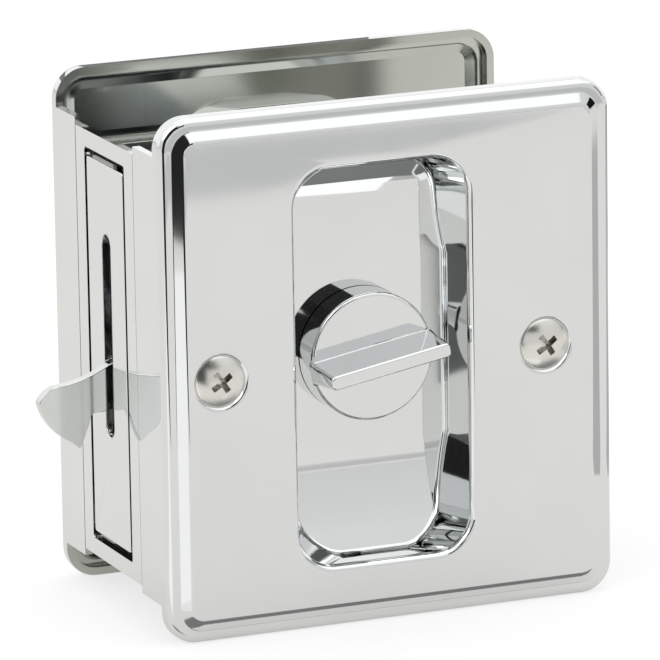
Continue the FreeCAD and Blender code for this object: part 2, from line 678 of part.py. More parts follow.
def cover_screw(label, way):
    """Build an oval-head screw with a cross recess."""
    body = new_body(label)
    sketch = new_sketch(body, "XY")
    dome = "((screw_head ^ 2 + screw_dome ^ 2) / (2 * screw_dome))"
    cone_end = "(screw_head - screw_shank + dimple_depth)"
    outline(sketch, [
        ("0", "-(screw_dome - dimple_depth)", dome, 1), ("screw_head", "dimple_depth"),
        ("screw_shank", cone_end), ("screw_shank", f"{cone_end} + screw_length"),
        ("0", f"{cone_end} + screw_length"),
    ])
    revolve(body, sketch)
    for turn in (0, 1):
        arm = new_sketch(body, "XZ", "screw_dome + screw_head")
        wide, high = ("screw_cross", "screw_cross_wall") if turn else ("screw_cross_wall", "screw_cross")
        rectangle(arm, f"-({wide} / 2)", f"{wide} / 2", f"-({high} / 2)", f"{high} / 2")
        extrude(body, arm, "screw_head + screw_cross_depth", cut=True)
    body.Placement = FreeCAD.Placement(V(0, 0, 0), FreeCAD.Rotation(V(0, -1, 0), value("screw_turn_angle")))
    place(body, f"{way} * screw_spacing / 2", f"-{FACE}")
    return body


# Hook bolt and its drive: two sectors of equal teeth, one on the hook and one on the spindle.

TOOTH_STEP = "(360 / gear_teeth)"
MESH_ANGLE = f"(asin(pivot_drop / (2 * {PITCH})) / (1 deg))"


def polar(radius, angle):
    """Return the texts of a point at a radius and an angle in degrees."""
    return f"{radius} * cos({angle})", f"{radius} * sin({angle})"


def sector_blank(body, first, last):
    """Pad a sector of the teeth's outer radius between two angles, about the body's own centre."""
    sketch = new_sketch(body, "XZ")
    tip = f"({PITCH} + gear_module)"
    middle = f"(({first}) + ({last})) / 2"
    outline(sketch, [
        ("0", "0"), (*polar(tip, first), tip, -1), (*polar(tip, middle), tip, -1), polar(tip, last),
    ])
    extrude(body, sketch, "hook_wall", both=True)


def tooth_spaces(body, first, count):
    """Cut tooth spaces from the sector, the first at an angle and the rest one step apart."""
    space = new_sketch(body, "XZ", "-(hook_wall / 2)")
    bind(space, "AttachmentOffset.Rotation.Angle", f"({first}) * 1 deg")
    tip = f"({PITCH} + 1.2 * gear_module)"
    root = f"({PITCH} - gear_root * gear_module)"
    flank = f"({PITCH} * sin(20))"
    wide = "(1.59 * gear_module + gear_backlash / 2)"
    narrow = "(0.56 * gear_module + gear_backlash / 2)"
    outline(space, [
        (root, f"-{narrow}", flank, 1), (tip, f"-{wide}"), (tip, wide, flank, 1), (root, narrow),
    ])
    pocket = extrude(body, space, "hook_wall", reverse=True, cut=True)
    pattern = body.newObject("PartDesign::PolarPattern", f"{body.Label}_teeth")
    pattern.Originals = [pocket]
    pattern.Axis = (space, ["N_Axis"])
    bind(pattern, "Angle", f"{count - 1} * 360 / gear_teeth")
    pattern.Occurrences = count
    body.Tip = pattern
    doc.recompute()
    return pattern


def hook():
    """Build the hook bolt about its pivot: nose, barb, neck, hub and toothed sector."""
    body = new_body("hook")
    sector_blank(body, f"{MESH_ANGLE} - 1.75 * {TOOTH_STEP}", f"{MESH_ANGLE} + 5.75 * {TOOTH_STEP}")
    hub = new_sketch(body, "XZ")
    circle(hub, "0", "0", "hook_hub")
    extrude(body, hub, "hook_wall", both=True)

    def at(out, drop):
        return f"({EDGE} - ({out}) - {PIVOT_X})", f"(-({drop}) - {PIVOT_Z})"

    blade = new_sketch(body, "XZ")
    inside = f"({PIVOT_X} - ({EDGE}))"
    crotch = "(hook_barb_reach - hook_barb_wall)"
    outline(blade, [
        (*at(f"-{inside}", "pivot_drop - hook_hub * 0.8"), "3 * hook_reach", -1),
        (*at("0", "hook_neck_top"), "1.7 * hook_reach", 1),
        (*at("hook_reach * 0.71", "hook_nose_drop - hook_nose_rise"), "1.5 * hook_nose_rise", -1),
        (*at("hook_reach", "hook_nose_drop"), "4 * hook_nose_rise", -1),
        at("hook_reach * 0.53", "hook_barb_drop - 0.9"),
        (*at("hook_barb_reach + 0.25", "hook_barb_drop - 0.1"), "0.3", -1),
        (*at("hook_barb_reach - 0.1", "hook_barb_drop - 0.2"), "2.5 * hook_reach", -1),
        (*at(f"{crotch} + 0.2", "hook_neck_foot + 0.9"), "0.7", 1),
        at(f"{crotch} - 0.5", "hook_neck_foot + 0.25"),
        at("-2", "hook_neck_foot"),
        at(f"-{inside}", "pivot_drop + hook_hub * 0.9"),
    ])
    extrude(body, blade, "hook_wall", both=True)
    tooth_spaces(body, f"{MESH_ANGLE} - {TOOTH_STEP}", 7)
    bore = new_sketch(body, "XZ")
    circle(bore, "0", "0", "pivot_radius + pin_clearance")
    extrude(body, bore, "2 * hook_wall", both=True, cut=True)
    place(body, PIVOT_X, "hook_side", PIVOT_Z)
    return body


def hook_pivot_pin():
    """Build the pivot pin, riveted over on both case plates."""
    body = new_body("hook_pivot_pin")
    sketch = new_sketch(body, "XY")
    head = "(rivet_height + case_wall + hook_gap + hook_wall / 2)"
    seat = "(case_wall + hook_gap + hook_wall / 2)"
    outline(sketch, [
        ("0", f"-{head}"), ("rivet_head * 0.7", f"-{head}"), ("rivet_head", f"-{seat}"),
        ("pivot_radius", f"-{seat}"), ("pivot_radius", seat), ("rivet_head", seat),
        ("rivet_head * 0.7", head), ("0", head),
    ])
    revolve(body, sketch)
    place(body, PIVOT_X, "hook_side", PIVOT_Z)
    return body


def spindle_bore(body, away, length, reverse=False):
    """Cut the flat spindle's hole about a turning piece's own axis."""
    bore = new_sketch(body, "XZ", away)
    wide = "(spindle_width / 2 + spindle_clearance)"
    high = "(spindle_wall / 2 + spindle_clearance)"
    rectangle(bore, f"-{wide}", wide, f"-{high}", high)
    extrude(body, bore, length, reverse=reverse, cut=True)


def turn_with_locked_angle(body):
    """Set a turning piece at the angle that it has when the hook is out."""
    body.Placement = FreeCAD.Placement(V(0, 0, 0), FreeCAD.Rotation(V(0, -1, 0), value("rest_angle")))


def drive_sector():
    """Build the toothed sector on the spindle, with a hub that runs in the case plates."""
    body = new_body("drive_sector")
    locked = "rest_angle"
    first = f"180 + {MESH_ANGLE} - {locked} - 5.5 * {TOOTH_STEP}"
    sector_blank(body, first, f"{first} + 7 * {TOOTH_STEP}")
    hub = new_sketch(body, "XZ")
    circle(hub, "0", "0", "sector_hub")
    extrude(body, hub, f"2 * ({CASE_FAR} - hook_side + case_wall)", both=True)
    collar = new_sketch(body, "XZ")
    circle(collar, "0", "0", "sector_hub + case_wall")
    extrude(body, collar, "hook_wall", both=True)
    tooth_spaces(body, first, 8)
    spindle_bore(body, "door_thickness / 2", "door_thickness")
    turn_with_locked_angle(body)
    place(body, "0", "hook_side", "0")
    return body


def spindle():
    """Build the flat spindle that joins both turns through the drive sector."""
    body = new_body("spindle")
    section = new_sketch(body, "XZ")
    rectangle(section, "-(spindle_width / 2)", "spindle_width / 2", "-(spindle_wall / 2)", "spindle_wall / 2")
    reach = f"2 * ({FLOOR_BACK} - hub_length + plate_wall + spindle_entry)"
    extrude(body, section, reach, both=True)
    turn_with_locked_angle(body)
    return body


def turn_blank(body, side, radius, height, edge):
    """Turn a disc with its grooved hub on one cup's floor."""
    sketch = new_sketch(body, "XY")
    foot = f"({FLOOR} + turn_lift)"
    hub_end = f"({FLOOR} - hub_length)"
    clip_far = f"({FLOOR_BACK} - washer_wall - washer_rise)"
    clip_near = f"({clip_far} - clip_wall - 0.1)"
    groove = "(hub_radius - groove_depth)"
    face = f"({foot} + {height})"
    corners = [
        ("0", f"{side} * {hub_end}"), ("hub_radius", f"{side} * {hub_end}"),
        ("hub_radius", f"{side} * {clip_near}"), (groove, f"{side} * {clip_near}"),
        (groove, f"{side} * {clip_far}"), ("hub_radius", f"{side} * {clip_far}"),
        ("hub_radius", f"{side} * {foot}"), (radius, f"{side} * {foot}"),
        (radius, f"{side} * ({face} - {edge})", edge, -side),
        (f"{radius} - {edge}", f"{side} * {face}"), ("0", f"{side} * {face}"),
    ]
    outline(sketch, corners)
    revolve(body, sketch)


def thumb_turn():
    """Build the thumb turn: disc, tapered bar and hub."""
    body = new_body("thumb_turn")
    turn_blank(body, -1, "turn_radius", "turn_height", "turn_edge")
    face = f"({FLOOR} + turn_lift + turn_height)"

    def section(away, thickness, shorter):
        sketch = new_sketch(body, "XZ", away)
        half = f"(bar_length / 2 - {shorter})"
        rounded_rectangle(sketch, f"-{half}", half, f"-({thickness} / 2)", f"{thickness} / 2",
                          f"({thickness} / 3)")
        return sketch

    loft(body, section(f"{face} - turn_edge", "bar_foot", "0"),
         section(f"{face} + bar_height", "bar_tip", "bar_round"))
    tip = -value(f"{face} + bar_height")
    round_edges(body, lambda edge: on_plane(edge, 1, tip), "bar_round")
    spindle_bore(body, f"{FLOOR} - hub_length", "spindle_entry + turn_lift", reverse=True)
    turn_with_locked_angle(body)
    return body


def coin_turn():
    """Build the emergency turn of the back side, with a slot for a coin."""
    body = new_body("coin_turn")
    turn_blank(body, 1, "coin_radius", "coin_height", "turn_edge")
    slot = new_sketch(body, "XZ", f"-({FLOOR} + turn_lift + coin_height)")
    rectangle(slot, "-coin_radius", "coin_radius", "-(coin_slot_width / 2)", "coin_slot_width / 2")
    extrude(body, slot, "coin_slot_depth", reverse=True, cut=True)
    spindle_bore(body, f"-({FLOOR} - hub_length)", "spindle_entry + turn_lift")
    turn_with_locked_angle(body)
    return body


def turn_clip(label, side):
    """Build the open retaining clip in a hub's groove."""
    body = new_body(label)
    inner = f"({FLOOR_BACK} - washer_wall - washer_rise - clip_wall - 0.05)"
    start = f"-{inner}" if side > 0 else f"{inner} + clip_wall"
    ring = new_sketch(body, "XZ", start)
    circle(ring, "0", "0", "clip_radius")
    circle(ring, "0", "0", "hub_radius - groove_depth + pin_clearance")
    extrude(body, ring, "clip_wall", reverse=True)
    mouth = new_sketch(body, "XZ")
    wide = "(hub_radius - groove_depth) * 0.85"
    rectangle(mouth, f"-({wide})", wide, "-(2 * clip_radius)", "-0.1")
    extrude(body, mouth, "4 * door_thickness", both=True, cut=True)
    turn_with_locked_angle(body)
    return body


def spring_washer(label, side):
    """Build the dished washer that keeps a turn tight in its cup."""
    body = new_body(label)
    sketch = new_sketch(body, "XY")
    inner = "hub_radius + hub_clearance"
    far = f"({FLOOR_BACK} - 0.02)"
    near = f"({far} - washer_rise)"
    outline(sketch, [
        (inner, f"{side} * ({near} - washer_wall)"), ("washer_radius", f"{side} * ({far} - washer_wall)"),
        ("washer_radius", f"{side} * {far}"), (inner, f"{side} * {near}"),
    ])
    revolve(body, sketch)
    return body


def build_all():
    """Build every piece and return them with their node names."""
    pieces = [
        face_plate("front_plate", -1),
        face_plate("back_plate", 1),
        edge_channel(),
        edge_pull(),
        edge_pull_pin(),
        edge_pull_spring(),
        case_plate("case_front_plate", CASE_FRONT),
        case_plate("case_rear_plate", CASE_FAR),
        case_spacer("case_spacer_upper", "-spacer_side", "spacer_rise"),
        case_spacer("case_spacer_lower", "-spacer_side", "-spacer_rise"),
        case_spacer("case_spacer_inner", "spacer_inner", "0"),
        standoff("standoff_left", -1),
        standoff("standoff_right", 1),
        rear_post("rear_post_left", -1),
        rear_post("rear_post_right", 1),
        cover_screw("screw_left", -1),
        cover_screw("screw_right", 1),
        hook(),
        hook_pivot_pin(),
        drive_sector(),
        spindle(),
        thumb_turn(),
        coin_turn(),
        turn_clip("turn_clip_front", -1),
        turn_clip("turn_clip_rear", 1),
        spring_washer("spring_washer_front", -1),
        spring_washer("spring_washer_rear", 1),
    ]
    doc.recompute()
    return pieces


def check(pieces):
    """Stop on any failed object or on a piece that isn't one valid solid."""
    failed = [item.Label for item in doc.Objects if {"Invalid", "Error"} & set(item.State)]
    if failed:
        raise RuntimeError(f"failed objects: {failed}")
    for piece in pieces:
        shape = piece.Shape
        if shape.isNull() or not shape.isValid() or len(shape.Solids) != 1:
            raise RuntimeError(f"{piece.Label}: {len(shape.Solids)} solids, valid {shape.isValid()}")


def write(pieces):
    """Write each piece to its own file."""
    os.makedirs("parts", exist_ok=True)
    for piece in pieces:
        piece.Shape.exportStep(f"parts/{piece.Label}.step")
        box = piece.Shape.BoundBox
        print(f"{piece.Label}: {piece.Shape.Volume:.1f} mm3, X {box.XMin:.2f}..{box.XMax:.2f},"
              f" Y {box.YMin:.2f}..{box.YMax:.2f}, Z {box.ZMin:.2f}..{box.ZMax:.2f}")


PIECES = build_all()
check(PIECES)
write(PIECES)
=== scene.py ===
"""Looks of a polished chrome pocket door pull with a thumb turn and a hook bolt."""

from __future__ import annotations

import logging
import math
from dataclasses import dataclass, field
from enum import Enum
from typing import Any, Callable, Sequence

import bmesh
import bpy
from mathutils import Matrix, Vector

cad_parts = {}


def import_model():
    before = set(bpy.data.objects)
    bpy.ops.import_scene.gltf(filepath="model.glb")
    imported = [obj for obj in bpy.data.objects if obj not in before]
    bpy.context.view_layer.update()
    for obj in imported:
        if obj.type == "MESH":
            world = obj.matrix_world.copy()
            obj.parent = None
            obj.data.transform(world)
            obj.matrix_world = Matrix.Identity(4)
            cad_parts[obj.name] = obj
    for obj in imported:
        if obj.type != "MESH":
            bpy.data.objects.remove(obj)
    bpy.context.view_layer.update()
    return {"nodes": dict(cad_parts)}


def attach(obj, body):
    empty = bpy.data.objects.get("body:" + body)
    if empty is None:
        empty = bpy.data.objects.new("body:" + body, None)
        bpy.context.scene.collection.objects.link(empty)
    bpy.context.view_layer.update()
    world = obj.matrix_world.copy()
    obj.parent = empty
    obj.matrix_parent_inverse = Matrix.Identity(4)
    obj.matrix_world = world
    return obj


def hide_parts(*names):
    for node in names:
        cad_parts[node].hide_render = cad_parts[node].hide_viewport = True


LOG = logging.getLogger("pocket_door_pull")
MM = 0.001
FRAME_PIXELS = 660


def linear(hex_colour: str) -> tuple[float, float, float, float]:
    """Turn an sRGB hex colour into a linear one.

    Args:
        hex_colour: Six hex digits, such as "D8DAD9".

    Returns:
        Red, green, blue and an alpha of 1.
    """
    parts = [int(hex_colour[place:place + 2], 16) / 255 for place in (0, 2, 4)]
    red, green, blue = (part / 12.92 if part <= 0.04045 else ((part + 0.055) / 1.055) ** 2.4 for part in parts)
    return red, green, blue, 1.0


def add_node(tree: bpy.types.NodeTree, kind: str, settings: dict[str, Any] | None = None,
             links: dict[str, Any] | None = None, **attributes: Any) -> bpy.types.Node:
    """Add one node with its settings and links.

    Args:
        tree: The node tree.
        kind: The node's type name.
        settings: Values for input sockets, by socket name or number.
        links: Output sockets to plug into inputs, by socket name or number.
        attributes: Settings of the node itself.

    Returns:
        The new node.
    """
    node = tree.nodes.new(kind)
    for name, setting in attributes.items():
        setattr(node, name, setting)
    for name, setting in (settings or {}).items():
        node.inputs[name].default_value = setting
    for name, source in (links or {}).items():
        tree.links.new(source, node.inputs[name])
    return node


class Axis(Enum):
    """Direction that a finish's grain runs in, as the stretch of its pattern along X, Y and Z."""

    NONE = (1.0, 1.0, 1.0)
    ALONG_X = (0.05, 1.0, 1.0)
    ALONG_Y = (1.0, 0.05, 1.0)
    ALONG_Z = (1.0, 1.0, 0.05)


@dataclass(frozen=True)
class Metal:
    """A metal finish: its tone, how sharp it mirrors, and the traces that its making leaves."""

    name: str
    tone: str
    shade: str
    roughness: float
    spread: float
    cloud_mm: float
    grain_mm: float
    grain_depth_mm: float
    ripple_mm: float
    ripple_depth_mm: float
    grain: Axis = Axis.NONE
    inside: str = ""

    def make(self) -> bpy.types.Material:
        """Make the finish as a material.

        Returns:
            The new material.
        """
        material = bpy.data.materials.new(self.name)
        material.use_nodes = True
        tree = material.node_tree
        tree.nodes.clear()
        place = add_node(tree, "ShaderNodeTexCoord").outputs["Object"]
        cloud = add_node(tree, "ShaderNodeTexNoise", {"Scale": 1 / (self.cloud_mm * MM), "Detail": 3.0},
                         {"Vector": place})
        tone = add_node(tree, "ShaderNodeMix", {6: linear(self.shade), 7: linear(self.tone)},
                        {0: cloud.outputs["Fac"]}, data_type="RGBA")
        rough = add_node(tree, "ShaderNodeMapRange",
                         {"From Min": 0.3, "From Max": 0.7, "To Min": self.roughness - self.spread,
                          "To Max": self.roughness + self.spread}, {"Value": cloud.outputs["Fac"]})
        colour, gloss = tone.outputs[2], rough.outputs["Result"]
        if self.inside:
            colour, gloss = self.dull_inside(tree, place, colour, gloss)
        stretch = add_node(tree, "ShaderNodeMapping", {"Scale": self.grain.value}, {"Vector": place})
        grain = add_node(tree, "ShaderNodeTexNoise", {"Scale": 1 / (self.grain_mm * MM), "Detail": 2.0},
                         {"Vector": stretch.outputs["Vector"]})
        ripple = add_node(tree, "ShaderNodeTexNoise", {"Scale": 1 / (self.ripple_mm * MM), "Detail": 1.0},
                          {"Vector": place})
        wave = add_node(tree, "ShaderNodeBump", {"Strength": 1.0, "Distance": self.ripple_depth_mm * MM},
                        {"Height": ripple.outputs["Fac"]})
        bump = add_node(tree, "ShaderNodeBump", {"Strength": 1.0, "Distance": self.grain_depth_mm * MM},
                        {"Height": grain.outputs["Fac"], "Normal": wave.outputs["Normal"]})
        metal = add_node(tree, "ShaderNodeBsdfPrincipled", {"Metallic": 1.0},
                         {"Base Color": colour, "Roughness": gloss,
                          "Normal": bump.outputs["Normal"]})
        add_node(tree, "ShaderNodeOutputMaterial", links={"Surface": metal.outputs["BSDF"]})
        return material

    def dull_inside(self, tree: bpy.types.NodeTree, place: Any, colour: Any, gloss: Any) -> tuple[Any, Any]:
        """Dull the faces that are marked as the inside, where the plate is thin and unbuffed.

        Args:
            tree: The material's node tree.
            place: Output with the place on the object.
            colour: Output with the outside's colour.
            gloss: Output with the outside's roughness.

        Returns:
            The outputs with the colour and the roughness of both sides.
        """
        inner = add_node(tree, "ShaderNodeAttribute", attribute_name="inside").outputs["Fac"]
        stain = add_node(tree, "ShaderNodeTexNoise", {"Scale": 1 / (9 * MM), "Detail": 3.0}, {"Vector": place})
        dull = add_node(tree, "ShaderNodeMix", {6: linear(self.inside), 7: linear("CDCFC9")},
                        {0: stain.outputs["Fac"]}, data_type="RGBA")
        both = add_node(tree, "ShaderNodeMix", None, {0: inner, 6: colour, 7: dull.outputs[2]}, data_type="RGBA")
        roughness = add_node(tree, "ShaderNodeMix", {3: 0.16}, {0: inner, 2: gloss})
        return both.outputs[2], roughness.outputs[0]


class Finish(Enum):
    """The object's finishes, one to a slot of the record."""

    # Bright chrome over buffed brass: a cool, nearly perfect mirror with a faint swell from the press,
    # and a dull greenish inside where the plate is thin.
    POLISHED_CHROME = ("polished_chrome", Metal("polished_chrome_plate", "E6E8E8", "DEE0E0", 0.045, 0.012,
                                                14.0, 0.5, 0.00004, 11.0, 0.0012, inside="BEC1B9"))
    # Bright plated stampings: a slightly veiled mirror with the sheet's rolling lines.
    PLATED_STEEL = ("plated_steel", Metal("plated_steel_stamping", "DDE0DE", "D0D4D2", 0.11, 0.03,
                                          6.0, 0.25, 0.0004, 7.0, 0.0015, Axis.ALONG_X))
    # Nickel plate on a cold headed screw: a little warmer and softer than the chrome.
    NICKEL_SCREW = ("nickel_screw", Metal("nickel_plated_screw", "EBEAE5", "DCDBD5", 0.26, 0.05,
                                          2.0, 0.2, 0.0006, 3.0, 0.001))
    # Zinc plated sheet: blue-grey, satin, with soft patches.
    ZINC_STEEL = ("zinc_steel", Metal("zinc_plated_steel", "C4C8CB", "AEB3B7", 0.3, 0.07,
                                      5.0, 0.3, 0.0015, 9.0, 0.002, Axis.ALONG_Z))
    # Drawn spring wire and blued spring sheet: dark, with fine lines.
    SPRING_STEEL = ("spring_steel", Metal("drawn_spring_steel", "8F9193", "76787B", 0.24, 0.05,
                                          3.0, 0.15, 0.0008, 4.0, 0.001, Axis.ALONG_Y))

    @property
    def slot(self) -> str:
        """Name of the record's slot."""
        return self.value[0]

    def material(self) -> bpy.types.Material:
        """Return the finish's material, made on its first use."""
        metal = self.value[1]
        return bpy.data.materials.get(metal.name) or metal.make()


class Bench:
    """A piece on the bench: the mesh operators used on one object, with selection by rule."""

    def __init__(self, piece: bpy.types.Object) -> None:
        """Take up a piece."""
        self.piece = piece

    @staticmethod
    def clear() -> None:
        """Leave edit mode and deselect everything."""
        if bpy.context.object is not None and bpy.context.object.mode != "OBJECT":
            bpy.ops.object.mode_set(mode="OBJECT")
        bpy.ops.object.select_all(action="DESELECT")

    @classmethod
    def added(cls, name: str) -> Bench:
        """Take up the primitive that was just added, with its scale applied."""
        piece = bpy.context.object
        piece.name = name
        bpy.ops.object.transform_apply(location=True, rotation=True, scale=True)
        return cls(piece)

    @classmethod
    def rounded_sheet(cls, name: str, centre: Sequence[float], width: float, height: float,
                      corner: float, segments: int = 10) -> Bench:
        """Add a flat sheet with rounded corners that faces up.

        Args:
            name: The piece's name.
            centre: The middle of the sheet, in metres.
            width: Size along X, in metres.
            height: Size along Y, in metres.
            corner: Corner radius, in metres.
            segments: Segments to each corner.

        Returns:
            The bench with the sheet, in object mode.
        """
        cls.clear()
        bpy.ops.mesh.primitive_plane_add(size=1.0, location=centre)
        bpy.context.object.scale = (width, height, 1.0)
        bench = cls.added(name)
        bench.edit()
        bench.pick("VERT", lambda vertex: True)
        bpy.ops.mesh.bevel(offset=corner, offset_type="OFFSET", segments=segments, affect="VERTICES")
        bench.done()
        return bench

    @classmethod
    def drum(cls, name: str, radius: float, low: float, high: float, sides: int = 96) -> Bench:
        """Add a round bar between two heights on the bench's axis."""
        cls.clear()
        bpy.ops.mesh.primitive_cylinder_add(vertices=sides, radius=radius, depth=high - low,
                                            location=(0.0, 0.0, (low + high) / 2))
        return cls.added(name)

    @classmethod
    def block(cls, name: str, centre: Sequence[float], size: Sequence[float]) -> Bench:
        """Add a block."""
        cls.clear()
        bpy.ops.mesh.primitive_cube_add(size=1.0, location=centre)
        bpy.context.object.scale = size
        return cls.added(name)

    @classmethod
    def copy_of(cls, node: bpy.types.Object, name: str) -> Bench:
        """Copy a node's mesh, merge its loose triangles and join those that lie in one plane."""
        cls.clear()
        piece = node.copy()
        piece.data = node.data.copy()
        piece.data.materials.clear()
        piece.name = name
        bpy.context.scene.collection.objects.link(piece)
        bpy.context.view_layer.objects.active = piece
        piece.select_set(True)
        bench = cls(piece)
        bench.edit()
        bpy.ops.mesh.select_all(action="SELECT")
        bpy.ops.mesh.remove_doubles(threshold=0.002 * MM)
        bpy.ops.mesh.dissolve_limited(angle_limit=math.radians(0.3))
        bench.done()
        return bench

    def edit(self) -> None:
        """Open the piece for editing, with nothing selected."""
        self.clear()
        self.piece.select_set(True)
        bpy.context.view_layer.objects.active = self.piece
        bpy.ops.object.mode_set(mode="EDIT")
        bpy.ops.mesh.select_all(action="DESELECT")

    def done(self) -> None:
        """Close the piece and leave it selected and active."""
        bpy.ops.object.mode_set(mode="OBJECT")
        bpy.ops.object.select_all(action="DESELECT")
        self.piece.select_set(True)
        bpy.context.view_layer.objects.active = self.piece

    def pick(self, kind: str, rule: Callable[[Any], bool]) -> int:
        """Select the vertices, edges or faces that a rule takes.

        Args:
            kind: "VERT", "EDGE" or "FACE".
            rule: Says whether an element is taken.

        Returns:
            How many were taken.
        """
        bpy.ops.mesh.select_mode(type=kind)
        bpy.ops.mesh.select_all(action="DESELECT")
        cage = bmesh.from_edit_mesh(self.piece.data)
        parts = {"VERT": cage.verts, "EDGE": cage.edges, "FACE": cage.faces}[kind]
        taken = [part for part in parts if rule(part)]
        for part in taken:
            part.select_set(True)
        bmesh.update_edit_mesh(self.piece.data)
        return len(taken)

    def inset(self, profile: Sequence[tuple[float, float]]) -> None:
        """Draw the selected faces in along a profile of (inset, height) points, in metres."""
        for (inset, height), (after, above) in zip(profile, profile[1:]):
            bpy.ops.mesh.inset(thickness=after - inset, depth=above - height, use_even_offset=True)

    def raise_faces(self, height: float) -> None:
        """Extrude the selected faces straight up or down."""
        bpy.ops.mesh.extrude_region_move(TRANSFORM_OT_translate={"value": (0.0, 0.0, height)})

    def modify(self, kind: str, **settings: Any) -> None:
        """Add a modifier with its settings and apply it."""
        self.clear()
        self.piece.select_set(True)
        bpy.context.view_layer.objects.active = self.piece
        modifier = self.piece.modifiers.new(kind.lower(), kind)
        for name, setting in settings.items():
            setattr(modifier, name, setting)
        bpy.ops.object.modifier_apply(modifier=modifier.name)

    def combine(self, other: Bench, operation: str) -> None:
        """Unite with another piece or cut it out, then put the other one away."""
        self.modify("BOOLEAN", object=other.piece, operation=operation, solver="EXACT")
        bpy.data.objects.remove(other.piece, do_unlink=True)

    def join(self, *others: Bench) -> None:
        """Join other pieces into this one as they are."""
        self.clear()
        for other in others:
            other.piece.select_set(True)
        self.piece.select_set(True)
        bpy.context.view_layer.objects.active = self.piece
        bpy.ops.object.join()

    def ease(self, width: float, segments: int = 2, angle: float = 40.0) -> None:
        """Break the sharp edges with a small rounding."""
        self.modify("BEVEL", width=width, segments=segments, limit_method="ANGLE",
                    angle_limit=math.radians(angle), use_clamp_overlap=True)

    def turn(self, about_x: float = 0.0, about_z: float = 0.0) -> None:
        """Turn the mesh about the bench's origin, in degrees, first about X and then about Z."""
        self.clear()
        self.piece.select_set(True)
        bpy.context.view_layer.objects.active = self.piece
        for turn in ((math.radians(about_x), 0.0, 0.0), (0.0, 0.0, math.radians(about_z))):
            self.piece.rotation_euler = turn
            bpy.ops.object.transform_apply(location=True, rotation=True, scale=True)

    def shade(self, angle: float = 35.0) -> None:
        """Shade smooth up to an angle, with flat faces kept flat for the mirror finish."""
        self.clear()
        self.piece.select_set(True)
        bpy.context.view_layer.objects.active = self.piece
        bpy.ops.object.shade_smooth_by_angle(angle=math.radians(angle))
        self.modify("WEIGHTED_NORMAL", mode="FACE_AREA", weight=80, keep_sharp=True)

    def finish(self, finish: Finish, body: str, *nodes: str) -> bpy.types.Object:
        """Dress the piece, let it ride on a body and stand for the nodes that it replaces."""
        self.piece.data.materials.clear()
        self.piece.data.materials.append(finish.material())
        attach(self.piece, body)
        if nodes:
            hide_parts(*nodes)
        LOG.info("%s: %d faces, rides on %s", self.piece.name, len(self.piece.data.polygons), body)
        return self.piece


def arc(radius: float, first: float, last: float, steps: int, start: tuple[float, float],
        hollow: bool = False) -> list[tuple[float, float]]:
    """List the points of an arc in a section, from one slope angle to another.

    Args:
        radius: Radius, in metres.
        first: Slope at the start, in degrees, where 90 is straight up and -90 straight down.
        last: Slope at the end, in degrees.
        steps: Number of chords.
        start: First point as (inset, height).
        hollow: True for an arc whose centre lies above the section.

    Returns:
        The points, with the first one.
    """
    sign = 1.0 if hollow else -1.0
    points = []
    for step in range(steps + 1):
        slope = math.radians(first + (last - first) * step / steps)
        begin = math.radians(first)
        points.append((start[0] + sign * radius * (math.sin(slope) - math.sin(begin)),
                       start[1] - sign * radius * (math.cos(slope) - math.cos(begin))))
    return points


class Side(Enum):
    """A side of the door: the hand that its bench is turned by, and how the bench is stood up."""

    FRONT = 1
    BACK = -1

    def stand(self, bench: Bench) -> None:
        """Stand a piece up from the bench, where Z points out of the door, into its place."""
        bench.turn(about_x=90.0, about_z=0.0 if self is Side.FRONT else 180.0)


@dataclass
class DoorFrame:
    """Sizes that the pieces share, in metres."""

    door: float = 34.925 * MM
    face: float = 20.6625 * MM
    floor: float = 12.1625 * MM
    rest_angle: float = 10.0

    def out(self, height: float) -> float:
        """Return a height over mid door for a height over the cup's floor."""
        return self.floor + height


